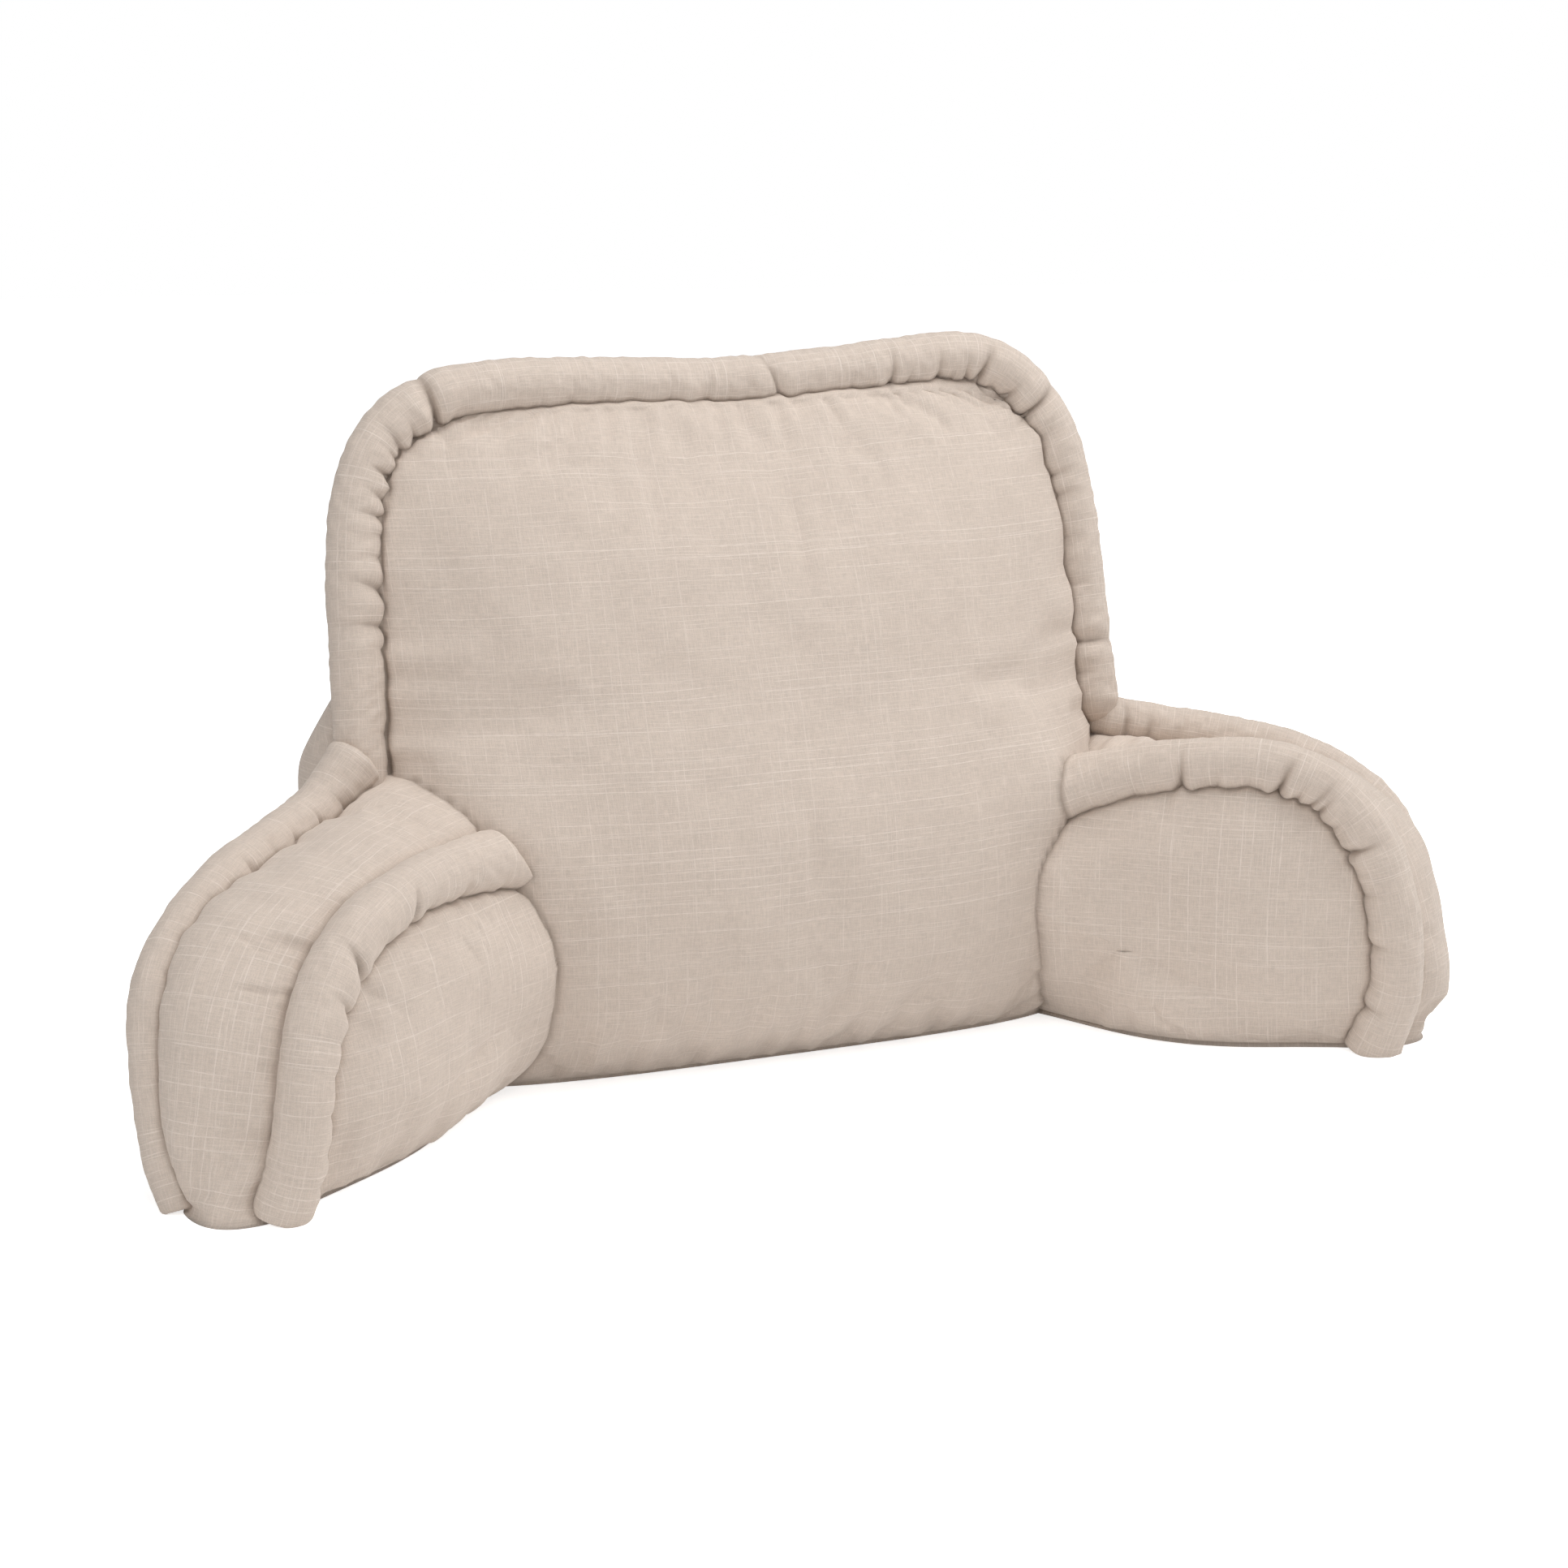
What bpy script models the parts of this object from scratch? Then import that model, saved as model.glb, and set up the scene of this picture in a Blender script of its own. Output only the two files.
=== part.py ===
"""A bed-rest back cushion: a filled wedge-shaped back with two filled arms, edged with fat stuffed piping.

Metres, +Z up. The origin is on the underside, in the middle of the back's base; -Y is the side that is leaned on.
"""

import math

import bmesh
import bpy
import numpy as np
from mathutils import Vector

# Driving sizes
BASE_FRONT = -0.080
PIPING_RADIUS = 0.016
OUTER_PIPING_RADIUS = 0.015
ARM_SPLAY = math.radians(47)
ARM_ROOT_X = 0.190
CUT_CLEARANCE = 0.0005

LINEN = (0.58, 0.49, 0.41, 1.0)
LINEN_ROUGHNESS = 0.92

# The filled back, one row for each level. left and right are the widths to the side seams, edge is how far the
# seam lies behind the front base edge, front and rear are the crowns either side of it, spread is how far the
# rear swells sideways past the seam, round is 0.5 for a round side and 1 for a knife edge, and flat is how
# square the level is.
BACK_LEVELS = (
    # height, left, right, edge, front, rear, spread, round, flat
    (-0.012, 0.238, 0.232, 0.070, 0.064, 0.100, 0.00, 0.42, 4.0),
    (0.000, 0.244, 0.240, 0.066, 0.068, 0.120, 0.02, 0.42, 3.8),
    (0.030, 0.249, 0.243, 0.058, 0.096, 0.146, 0.05, 0.48, 3.0),
    (0.080, 0.250, 0.243, 0.048, 0.106, 0.160, 0.10, 0.55, 2.6),
    (0.140, 0.250, 0.242, 0.040, 0.096, 0.158, 0.15, 0.58, 2.6),
    (0.190, 0.250, 0.240, 0.037, 0.078, 0.146, 0.18, 0.62, 2.6),
    (0.235, 0.249, 0.238, 0.042, 0.066, 0.120, 0.09, 0.72, 2.6),
    (0.290, 0.249, 0.238, 0.050, 0.056, 0.090, 0.01, 0.80, 2.6),
    (0.340, 0.243, 0.234, 0.058, 0.045, 0.066, 0.00, 0.80, 2.6),
    (0.375, 0.231, 0.223, 0.064, 0.033, 0.046, 0.00, 0.80, 2.6),
    (0.402, 0.214, 0.206, 0.069, 0.018, 0.026, 0.00, 0.80, 2.8),
    (0.419, 0.180, 0.172, 0.072, 0.005, 0.008, 0.00, 0.80, 3.0),
)
TOP_RISE_TO_RIGHT = 0.036
BACK_HEIGHT = 0.420
BACK_ROWS = 24
BACK_RING = 36

# The back's piping, from the left arm over the top to the right arm: its centre line
BACK_PIPING = (
    # x, behind_front_edge, height
    (-0.262, 0.036, 0.196),
    (-0.259, 0.046, 0.250),
    (-0.257, 0.056, 0.310),
    (-0.251, 0.064, 0.358),
    (-0.236, 0.070, 0.393),
    (-0.206, 0.074, 0.416),
    (-0.165, 0.076, 0.424),
    (-0.100, 0.077, 0.425),
    (-0.030, 0.077, 0.423),
    (0.030, 0.077, 0.425),
    (0.100, 0.077, 0.431),
    (0.150, 0.077, 0.436),
    (0.183, 0.075, 0.432),
    (0.208, 0.072, 0.414),
    (0.226, 0.067, 0.386),
    (0.238, 0.060, 0.341),
    (0.243, 0.052, 0.288),
    (0.244, 0.044, 0.243),
    (0.250, 0.036, 0.198),
)

# The arms' two seams, one row for each station from the root to the floor: how far along the arm and how high
# the inner piping is, how far and how high the outer piping is, and how far each lies out from the inner floor line.
LEFT_ARM = (
    # inner_reach, inner_height, inner_out, outer_reach, outer_height, outer_out
    (-0.100, 0.130, -0.030, -0.060, 0.196, 0.076),
    (-0.050, 0.144, -0.026, -0.020, 0.200, 0.077),
    (0.000, 0.150, -0.018, 0.028, 0.198, 0.079),
    (0.045, 0.154, -0.012, 0.064, 0.188, 0.084),
    (0.100, 0.157, -0.010, 0.110, 0.176, 0.087),
    (0.150, 0.150, -0.008, 0.160, 0.162, 0.088),
    (0.188, 0.134, -0.006, 0.198, 0.141, 0.089),
    (0.213, 0.108, -0.006, 0.224, 0.113, 0.088),
    (0.227, 0.074, -0.006, 0.235, 0.078, 0.084),
    (0.234, 0.036, -0.004, 0.240, 0.040, 0.076),
    (0.242, -0.012, 0.000, 0.246, -0.012, 0.060),
)
RIGHT_ARM = (
    # inner_reach, inner_height, inner_out, outer_reach, outer_height, outer_out
    (-0.100, 0.128, -0.030, -0.060, 0.192, 0.075),
    (-0.050, 0.146, -0.026, -0.020, 0.195, 0.076),
    (0.000, 0.157, -0.018, 0.028, 0.193, 0.078),
    (0.050, 0.173, -0.012, 0.060, 0.188, 0.086),
    (0.100, 0.183, -0.010, 0.104, 0.182, 0.091),
    (0.150, 0.184, -0.008, 0.150, 0.172, 0.093),
    (0.186, 0.170, -0.006, 0.186, 0.155, 0.093),
    (0.212, 0.140, -0.006, 0.211, 0.131, 0.092),
    (0.227, 0.098, -0.006, 0.228, 0.096, 0.090),
    (0.231, 0.048, -0.002, 0.237, 0.046, 0.083),
    (0.221, -0.012, 0.004, 0.234, -0.012, 0.070),
)
# The outer piping leaves the arm's seam at the last of the hidden stations and turns in to the back's piping
HIDDEN_STATIONS = 2
OUTER_PIPING_START = (0.002, 0.060, 0.198)
INNER_FLOOR_OUT = (0.010, 0.026)
OUTER_FLOOR_OUT = (0.060, 0.068)
ARM_STATIONS = 22
ARM_FLOOR_POINTS = 9
ARM_ROOT_POINTS = 5
ARM_GUSSET_POINTS = 5
ARM_SIZE = 0.200
PANEL_RINGS = (0.15, 0.38, 0.60, 0.79, 0.93, 1.00)
INNER_PANEL_OUT = 0.000
OUTER_PANEL_OUT = 0.082
INNER_PANEL_MIDDLE = (0.060, 0.065)
OUTER_PANEL_MIDDLE = (0.070, 0.070)
INNER_PANEL_BULGE = 0.037
OUTER_PANEL_BULGE = 0.024
LEFT_GUSSET_CROWN = 0.019
RIGHT_GUSSET_CROWN = 0.007
PANEL_FULLNESS = 3

# Where the stuffed piping is nipped in by its stitching, as shares of its length
PIPING_STEP = 0.0125
PIPING_NIP = 0.16
PIPING_NIP_LENGTH = 0.006
NIPS = {
    "back": (0.05, 0.10, 0.155, 0.20, 0.245, 0.285, 0.32, 0.36, 0.42, 0.465, 0.50, 0.545, 0.60, 0.645,
             0.68, 0.715, 0.76, 0.80, 0.845, 0.885, 0.93, 0.965),
    "left_outer": (0.22, 0.31, 0.40, 0.48, 0.57, 0.66, 0.76, 0.87),
    "left_inner": (0.33, 0.44, 0.55, 0.63, 0.74, 0.86),
    "right_outer": (0.20, 0.30, 0.40, 0.52, 0.64, 0.76, 0.88),
    "right_inner": (0.38, 0.50, 0.60, 0.68, 0.77, 0.88),
}


def clear_scene():
    for thing in list(bpy.data.objects):
        bpy.data.objects.remove(thing)


def collection(name, hidden=False):
    made = bpy.data.collections.new(name)
    made.hide_render = hidden
    bpy.context.scene.collection.children.link(made)
    return made


def curve_through(rows, count):
    """Rows evenly spaced along a smooth curve through the given rows, whatever their columns are."""
    rows = np.array(rows, float)
    ends = np.vstack([2 * rows[0] - rows[1], rows, 2 * rows[-1] - rows[-2]])
    fine = []
    for before, start, stop, after in zip(ends, ends[1:], ends[2:], ends[3:]):
        for t in np.linspace(0, 1, 16, endpoint=False):
            fine.append(
                0.5 * (2 * start + (stop - before) * t
                       + (2 * before - 5 * start + 4 * stop - after) * t ** 2
                       + (3 * start - before - 3 * stop + after) * t ** 3)
            )
    fine = np.array(fine + [rows[-1]])
    run = np.concatenate([[0], np.cumsum(np.linalg.norm(np.diff(fine, axis=0), axis=1))])
    at = np.linspace(0, run[-1], count)
    return np.column_stack([np.interp(at, run, column) for column in fine.T])


def new_object(name, mesh, group):
    made = bpy.data.objects.new(name, mesh)
    group.objects.link(made)
    return made


def loft(name, rings, group, merge=1e-5):
    """A closed skin over a row of rings with equal numbers of points, with both ends filled."""
    work = bmesh.new()
    skins = [[work.verts.new(point) for point in ring] for ring in rings]
    for ring, following in zip(skins, skins[1:]):
        for i, corner in enumerate(ring):
            j = (i + 1) % len(ring)
            work.faces.new((corner, ring[j], following[j], following[i]))
    work.faces.new(list(reversed(skins[0])))
    work.faces.new(skins[-1])
    bmesh.ops.remove_doubles(work, verts=work.verts[:], dist=merge)
    bmesh.ops.dissolve_degenerate(work, edges=work.edges[:], dist=merge)
    bmesh.ops.triangulate(work, faces=work.faces[:])
    bmesh.ops.recalc_face_normals(work, faces=work.faces[:])
    mesh = bpy.data.meshes.new(name)
    work.to_mesh(mesh)
    work.free()
    return new_object(name, mesh, group)


def swollen(source, by, group):
    """A copy of a solid with its skin moved out, to cut its neighbours clear of it."""
    copy = new_object(source.name + "_clearance", source.data.copy(), group)
    copy.matrix_world = source.matrix_world
    for vertex in copy.data.vertices:
        vertex.co += Vector(vertex.normal) * by
    return copy


def cut_away(solid, *cutters):
    for cutter in cutters:
        cut = solid.modifiers.new("clear of " + cutter.name, "BOOLEAN")
        cut.operation = "DIFFERENCE"
        cut.object = cutter


def piping(name, path, nips, radius, group):
    """A stuffed tube along a smooth path, nipped in where the stitching draws it, as a mesh."""
    length = float(np.linalg.norm(np.diff(curve_through(path, 200), axis=0), axis=1).sum())
    points = curve_through(path, round(length / PIPING_STEP) + 1)
    curve = bpy.data.curves.new(name, "CURVE")
    curve.dimensions = "3D"
    curve.bevel_depth = radius
    curve.bevel_resolution = 2
    curve.use_fill_caps = True
    spline = curve.splines.new("POLY")
    spline.points.add(len(points) - 1)
    for i, (point, place) in enumerate(zip(points, spline.points)):
        place.co = (*point, 1.0)
        along = i / (len(points) - 1) * length
        nearest = min(abs(along - share * length) for share in nips)
        place.radius = 1.03 - PIPING_NIP * math.exp(-((nearest / PIPING_NIP_LENGTH) ** 2))
    line = new_object(name + "_line", curve, group)
    bpy.context.view_layer.update()
    mesh = bpy.data.meshes.new_from_object(line.evaluated_get(bpy.context.evaluated_depsgraph_get()))
    bpy.data.objects.remove(line)
    work = bmesh.new()
    work.from_mesh(mesh)
    bmesh.ops.remove_doubles(work, verts=work.verts[:], dist=1e-5)
    bmesh.ops.triangulate(work, faces=work.faces[:])
    bmesh.ops.recalc_face_normals(work, faces=work.faces[:])
    work.to_mesh(mesh)
    work.free()
    mesh.name = name
    return new_object(name, mesh, group)


def back_solid(group):
    """The filled back: level sections, crowned before and behind the side seam, thin at the top, flat below."""
    rings = []
    rows = curve_through(BACK_LEVELS, BACK_ROWS)
    for level, left, right, edge, front, rear, spread, roundness, flatness in rows:
        tilt = TOP_RISE_TO_RIGHT * max(0.0, level / BACK_HEIGHT) ** 4
        ring = []
        for k in range(BACK_RING):
            angle = 2 * math.pi * k / BACK_RING
            across = math.cos(angle)
            swell = (1 - abs(across) ** flatness) ** roundness
            half_width = right if across > 0 else left
            depth = edge - front * swell
            if math.sin(angle) < 0:
                half_width -= spread * math.sin(angle)
                depth = edge + rear * swell
            x = half_width * across
            ring.append((x, BASE_FRONT + depth, level + tilt * x))
        rings.append(ring)
    return loft("back", rings, group)


def arm_place(side, reach, out, height):
    """A point of an arm in the object's frame, from how far along, out and up it is."""
    forward = Vector((side * math.sin(ARM_SPLAY), -math.cos(ARM_SPLAY), 0))
    outward = Vector((side * math.cos(ARM_SPLAY), math.sin(ARM_SPLAY), 0))
    root = Vector((side * ARM_ROOT_X, BASE_FRONT, height))
    return root + forward * reach + outward * out


def arm_outline(reaches, heights):
    """An arm's closed side outline: the arch from root to floor, back along the floor, and up inside the back."""
    arch = list(zip(reaches, heights))
    end, start = arch[-1], arch[0]
    floor = [(end[0] + (start[0] - end[0]) * share, end[1]) for share in np.linspace(0, 1, ARM_FLOOR_POINTS)[1:]]
    root = [(start[0], end[1] + (start[1] - end[1]) * share) for share in np.linspace(0, 1, ARM_ROOT_POINTS)[1:-1]]
    return np.array(arch + floor + root)


def away_from_line(arch, floor_out):
    """How far out each point of an arm's outline lies: over the arch, along the floor and up inside the back."""
    floor = np.linspace(0, 1, ARM_FLOOR_POINTS)[1:]
    along_floor = np.interp(floor, (0, 0.2, 1), (arch[-1], *floor_out))
    up_root = np.linspace(floor_out[1], arch[0], ARM_ROOT_POINTS)[1:-1]
    return np.concatenate([arch, along_floor, up_root])


def arm_solid(name, side, stations, gusset_crown, group):
    """A filled arm: inner and outer panels that bulge from their seams, with a crowned gusset arching between."""
    rows = curve_through(stations, ARM_STATIONS)
    inner = arm_outline(rows[:, 0], rows[:, 1])
    outer = arm_outline(rows[:, 3], rows[:, 4])
    inner_out = away_from_line(rows[:, 2], INNER_FLOOR_OUT)
    outer_out = away_from_line(rows[:, 5], OUTER_FLOOR_OUT)
    rings = []

    def ring(outline, out):
        rings.append([arm_place(side, reach, away, height) for (reach, height), away in zip(outline, out)])

    for share in PANEL_RINGS:
        middle = np.array(INNER_PANEL_MIDDLE)
        base = INNER_PANEL_OUT + share * (inner_out - INNER_PANEL_OUT)
        ring(middle + share * (inner - middle), base - INNER_PANEL_BULGE * (1 - share ** PANEL_FULLNESS))
    for share in np.linspace(0, 1, ARM_GUSSET_POINTS)[1:-1]:
        across = inner + share * (outer - inner)
        spread = across * (1 + gusset_crown / ARM_SIZE * math.sin(math.pi * share))
        ring(spread, inner_out + share * (outer_out - inner_out))
    for share in reversed(PANEL_RINGS):
        middle = np.array(OUTER_PANEL_MIDDLE)
        base = OUTER_PANEL_OUT + share * (outer_out - OUTER_PANEL_OUT)
        ring(middle + share * (outer - middle), base + OUTER_PANEL_BULGE * (1 - share ** PANEL_FULLNESS))
    return loft(name, rings, group)


def linen_material(name):
    made = bpy.data.materials.new(name)
    made.use_nodes = True
    shader = made.node_tree.nodes["Principled BSDF"]
    shader.inputs["Base Color"].default_value = LINEN
    shader.inputs["Roughness"].default_value = LINEN_ROUGHNESS
    shader.inputs["Metallic"].default_value = 0.0
    return made


def build():
    clear_scene()
    pieces = collection("bed_rest_cushion")
    cutters = collection("cutters", hidden=True)

    bpy.ops.mesh.primitive_cube_add(size=2, location=(0, 0, -1))
    floor = bpy.context.object
    floor.name = "below_the_base"
    for group in list(floor.users_collection):
        group.objects.unlink(floor)
    cutters.objects.link(floor)

    back = back_solid(pieces)
    back_clearance = swollen(back, CUT_CLEARANCE, cutters)
    back_line = [(x, BASE_FRONT + behind, height) for x, behind, height in BACK_PIPING]
    back_cord = piping("back_piping", back_line, NIPS["back"], PIPING_RADIUS, pieces)
    back_groove = swollen(back_cord, CUT_CLEARANCE, cutters)

    arms = ((-1, "left", LEFT_ARM, LEFT_GUSSET_CROWN), (1, "right", RIGHT_ARM, RIGHT_GUSSET_CROWN))
    for side, word, stations, crown in arms:
        arm = arm_solid(word + "_arm", side, stations, crown, pieces)
        inner_line = [arm_place(side, row[0], row[2], row[1]) for row in stations]
        outer_line = [arm_place(side, row[3], row[5], row[4]) for row in stations[HIDDEN_STATIONS:]]
        outer_line.insert(0, arm_place(side, *OUTER_PIPING_START))
        inner = piping(word + "_inner_piping", inner_line, NIPS[word + "_inner"], PIPING_RADIUS, pieces)
        outer = piping(word + "_outer_piping", outer_line, NIPS[word + "_outer"], OUTER_PIPING_RADIUS, pieces)
        inner_groove = swollen(inner, CUT_CLEARANCE, cutters)
        outer_groove = swollen(outer, CUT_CLEARANCE, cutters)
        cut_away(arm, inner_groove, outer_groove, back_groove, floor, back_clearance)
        cut_away(inner, floor, back_clearance)
        cut_away(outer, floor, back_groove)
        cut_away(back, outer_groove)
    cut_away(back, floor, back_groove)

    for thing in cutters.objects:
        thing.hide_render = True
        thing.display_type = "WIRE"
    cover = linen_material("linen")
    for thing in pieces.objects:
        thing.data.materials.clear()
        thing.data.materials.append(cover)
        thing.data.shade_smooth()


build()
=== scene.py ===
"""The looks of a bed-rest back cushion in oatmeal slub linen: a wedge-shaped back with two splayed arms, all edged
with fat stuffed piping. Metres, +Z up; the origin is under the back, and -Y is the side that is leaned on."""

import math

import bmesh
import bpy
import numpy as np
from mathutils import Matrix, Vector
from mathutils.bvhtree import BVHTree


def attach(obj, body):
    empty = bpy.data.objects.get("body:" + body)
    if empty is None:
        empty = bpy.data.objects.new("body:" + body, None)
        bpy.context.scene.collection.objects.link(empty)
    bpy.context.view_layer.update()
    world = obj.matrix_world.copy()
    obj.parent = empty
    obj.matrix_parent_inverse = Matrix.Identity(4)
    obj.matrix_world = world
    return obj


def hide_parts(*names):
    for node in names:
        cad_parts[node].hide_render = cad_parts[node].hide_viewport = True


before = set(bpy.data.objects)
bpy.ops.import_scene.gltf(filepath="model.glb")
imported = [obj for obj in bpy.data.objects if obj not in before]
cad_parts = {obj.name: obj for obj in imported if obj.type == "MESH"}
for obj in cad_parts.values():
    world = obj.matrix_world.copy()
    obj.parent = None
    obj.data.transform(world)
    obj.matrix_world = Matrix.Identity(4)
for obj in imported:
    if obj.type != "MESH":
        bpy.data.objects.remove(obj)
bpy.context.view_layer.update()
scene = bpy.context.scene

# The back.
# The filled back rest: a front and a rear panel of oatmeal slub linen, sewn face to face along the piping and to a
# base panel below. It is stuffed fat low down and thin at the top, so that it stands leaning back a little.

BASE_FRONT = -0.080
BACK_LEVELS = (
    # height, left, right, edge, front, rear, spread, round, flat
    (0.000, 0.244, 0.240, 0.066, 0.068, 0.120, 0.02, 0.42, 3.8),
    (0.030, 0.249, 0.243, 0.058, 0.096, 0.146, 0.05, 0.48, 3.0),
    (0.080, 0.250, 0.243, 0.048, 0.106, 0.160, 0.10, 0.55, 2.6),
    (0.140, 0.250, 0.242, 0.040, 0.096, 0.158, 0.13, 0.58, 2.6),
    (0.190, 0.250, 0.2415, 0.037, 0.078, 0.146, 0.15, 0.62, 2.6),
    (0.235, 0.249, 0.238, 0.042, 0.066, 0.120, 0.11, 0.72, 2.6),
    (0.290, 0.249, 0.238, 0.050, 0.056, 0.090, 0.02, 0.80, 2.6),
    (0.340, 0.248, 0.236, 0.058, 0.045, 0.066, 0.00, 0.80, 2.6),
    (0.375, 0.239, 0.226, 0.064, 0.033, 0.046, 0.00, 0.80, 2.6),
    (0.402, 0.229, 0.208, 0.069, 0.018, 0.026, 0.00, 0.80, 2.8),
    (0.419, 0.204, 0.176, 0.072, 0.005, 0.008, 0.00, 0.80, 3.0),
)
TOP_RISE = (0.008, 0.036)  # left and right of the middle
BACK_HEIGHT = 0.420
FRONT_COLUMNS = 250
REAR_COLUMNS = 110
BACK_ROWS = 220
HEM_TUCK = 0.0030
HEM_HEIGHT = 0.009
BACK_WAVES = (
    # height, size, seed
    (0.0011, 0.11, 3),
    (0.0004, 0.035, 4),
)
SEAM_HALF_ANGLE = 0.05
BASE_HEM_TOP = 0.006
TOP_HEM_FOOT = 0.412
FLAT_BELOW = 0.012
ARM_SEAM_PULLS = (
    # where the arms' seams draw the front panel forward
    # x, height, forward, radius
    (-0.206, 0.168, 0.012, 0.034),
    (0.185, 0.168, 0.015, 0.034),
)

# The linen is an oatmeal plain weave with pale slub yarns both ways. Lengths are in metres of cloth.
CLOTH_COLOUR = (0.602, 0.511, 0.441)
SLUB_COLOUR = (0.760, 0.672, 0.605)
# Painted shade: the colour that the cloth is darkened towards in the piping's creases and along the seams.
SHADOW_COLOUR = (0.300, 0.235, 0.190)
SLUB_YARNS = (
    # pitch, chance, half_width, strength, evenness
    (0.0062, 0.85, 0.00032, 0.90, 0.33),
    (0.0027, 0.80, 0.00026, 0.62, 0.38),
)
CLOTH_ROUGHNESS = 0.93
CLOTH_GLOSS = 0.18
SHEEN = 0.22
SHEEN_ROUGHNESS = 0.55
SHEEN_COLOUR = (0.95, 0.90, 0.84, 1.0)
THREADS = 1500.0
THREAD_KNOBS = 130.0
FINE_GRAIN = 1700.0
MOTTLE = 60.0
GRAIN_RANGE = (0.32, 0.68)
GRAIN_TONES = (0.89, 1.10)
YARN_BENDS = 9.0
YARN_WANDER = 0.0045
YARN_KNOBS = 260.0
YARN_BREAKS = 16.0
WARP_BREAKS_MORE = 0.07
WEAVE_BUMP = 0.5
WEAVE_DEPTH = 0.0005
SLUB_RISE = 0.35

# The covers are simulated on every third row and column, blown up by the filling.
CLOTH_SKIP = 3
CLOTH_EXCESS = 0.030
CLOTH_PRESSURE = 4.0
CLOTH_FRAMES = 20
FOLD_LIMIT = 0.0035
CLOTH_STIFFNESS = 0.15
CLOTH_DAMPING = 3.0
CLOTH_QUALITY = 6
FOLD_CELLS = 5


def linen(name, weft_slubs, warp_slubs, seed):
    """The slubbed plain weave: a grain of threads both ways, with pale slub yarns that are long along the weft and
    more broken along the warp. It lies by the UV map "cloth", and a painted shade, read from a point attribute,
    darkens it in the piping's creases and along the seams."""
    material = bpy.data.materials.new(name)
    material.use_nodes = True
    nodes, links = material.node_tree.nodes, material.node_tree.links
    shader = nodes["Principled BSDF"]
    shader.inputs["Roughness"].default_value = CLOTH_ROUGHNESS
    shader.inputs["Specular IOR Level"].default_value = CLOTH_GLOSS
    shader.inputs["Sheen Weight"].default_value = SHEEN
    shader.inputs["Sheen Roughness"].default_value = SHEEN_ROUGHNESS
    shader.inputs["Sheen Tint"].default_value = SHEEN_COLOUR

    def put(socket, value):
        if isinstance(value, (int, float)):
            socket.default_value = value
        elif isinstance(value, tuple):
            socket.default_value = (*value, 1.0)
        else:
            links.new(value, socket)

    def combine(operation, *values):
        made = nodes.new("ShaderNodeMath")
        made.operation = operation
        for socket, value in zip(made.inputs, values):
            put(socket, value)
        return made.outputs["Value"]

    def scaled(coordinate, bumps):
        return combine("MULTIPLY", coordinate, bumps)

    def noise(first, second, shift, detail=2.0):
        """Soft noise over a plane whose two coordinates are given in bumps."""
        place = nodes.new("ShaderNodeCombineXYZ")
        put(place.inputs["X"], combine("ADD", first, shift + seed * 7.31))
        put(place.inputs["Y"], combine("ADD", second, shift * 1.7 + seed * 3.17))
        cloud = nodes.new("ShaderNodeTexNoise")
        cloud.noise_dimensions = "2D"
        cloud.inputs["Scale"].default_value = 1.0
        cloud.inputs["Detail"].default_value = detail
        links.new(place.outputs["Vector"], cloud.inputs["Vector"])
        return cloud.outputs["Fac"]

    def sharpen(value, low, high, new_low=0.0, new_high=1.0):
        ramp = nodes.new("ShaderNodeMapRange")
        ramp.interpolation_type = "SMOOTHSTEP"
        for word, number in zip(("Value", "From Min", "From Max", "To Min", "To Max"),
                                (value, low, high, new_low, new_high)):
            put(ramp.inputs[word], number)
        return ramp.outputs["Result"]

    def tint(amount, below, above):
        blend = nodes.new("ShaderNodeMix")
        blend.data_type = "RGBA"
        put(blend.inputs["Factor"], amount)
        colours = [socket for socket in blend.inputs if socket.type == "RGBA"]
        for socket, value in zip(colours, (below, above)):
            put(socket, value)
        return next(socket for socket in blend.outputs if socket.type == "RGBA")

    def slub_yarns(along, across, shift, pitch, chance, half_width, strength, evenness):
        """Thin lines that run along, one at most in each pitch across, each with its own place and strength."""
        bends = noise(scaled(along, YARN_BENDS), scaled(across, YARN_BENDS), shift, 1.0)
        wander = combine("MULTIPLY", combine("SUBTRACT", bends, 0.5), YARN_WANDER)
        lane = combine("DIVIDE", combine("ADD", across, wander), pitch)
        number = combine("FLOOR", lane)
        dice = nodes.new("ShaderNodeTexWhiteNoise")
        dice.noise_dimensions = "1D"
        put(dice.inputs["W"], combine("ADD", number, shift * 3.0 + seed * 17.0))
        thrown = nodes.new("ShaderNodeSeparateColor")
        links.new(dice.outputs["Color"], thrown.inputs["Color"])
        middle = combine("ADD", combine("MULTIPLY", thrown.outputs["Red"], 0.6), 0.2)
        off = combine("MULTIPLY", combine("ABSOLUTE", combine("SUBTRACT", combine("FRACT", lane), middle)), pitch)
        knobs = noise(scaled(along, YARN_KNOBS), scaled(number, 5.3), shift + 2.0, 1.0)
        thick = combine("MULTIPLY", knobs, 2.2 * half_width)
        line = sharpen(off, combine("MULTIPLY", thick, 0.4), thick, 1.0, 0.0)
        worth = sharpen(dice.outputs["Value"], 1 - chance, 1 - 0.3 * chance, 0.0, strength)
        breaks = noise(scaled(along, YARN_BREAKS), scaled(number, 9.7), shift + 4.0)
        there = sharpen(breaks, evenness, evenness + 0.16, 0.12, 1.0)
        return combine("MULTIPLY", combine("MULTIPLY", line, worth), there)

    cloth = nodes.new("ShaderNodeUVMap")
    cloth.uv_map = "cloth"
    lengths = nodes.new("ShaderNodeSeparateXYZ")
    links.new(cloth.outputs["UV"], lengths.inputs["Vector"])
    sideways, upward = lengths.outputs["X"], lengths.outputs["Y"]

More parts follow.
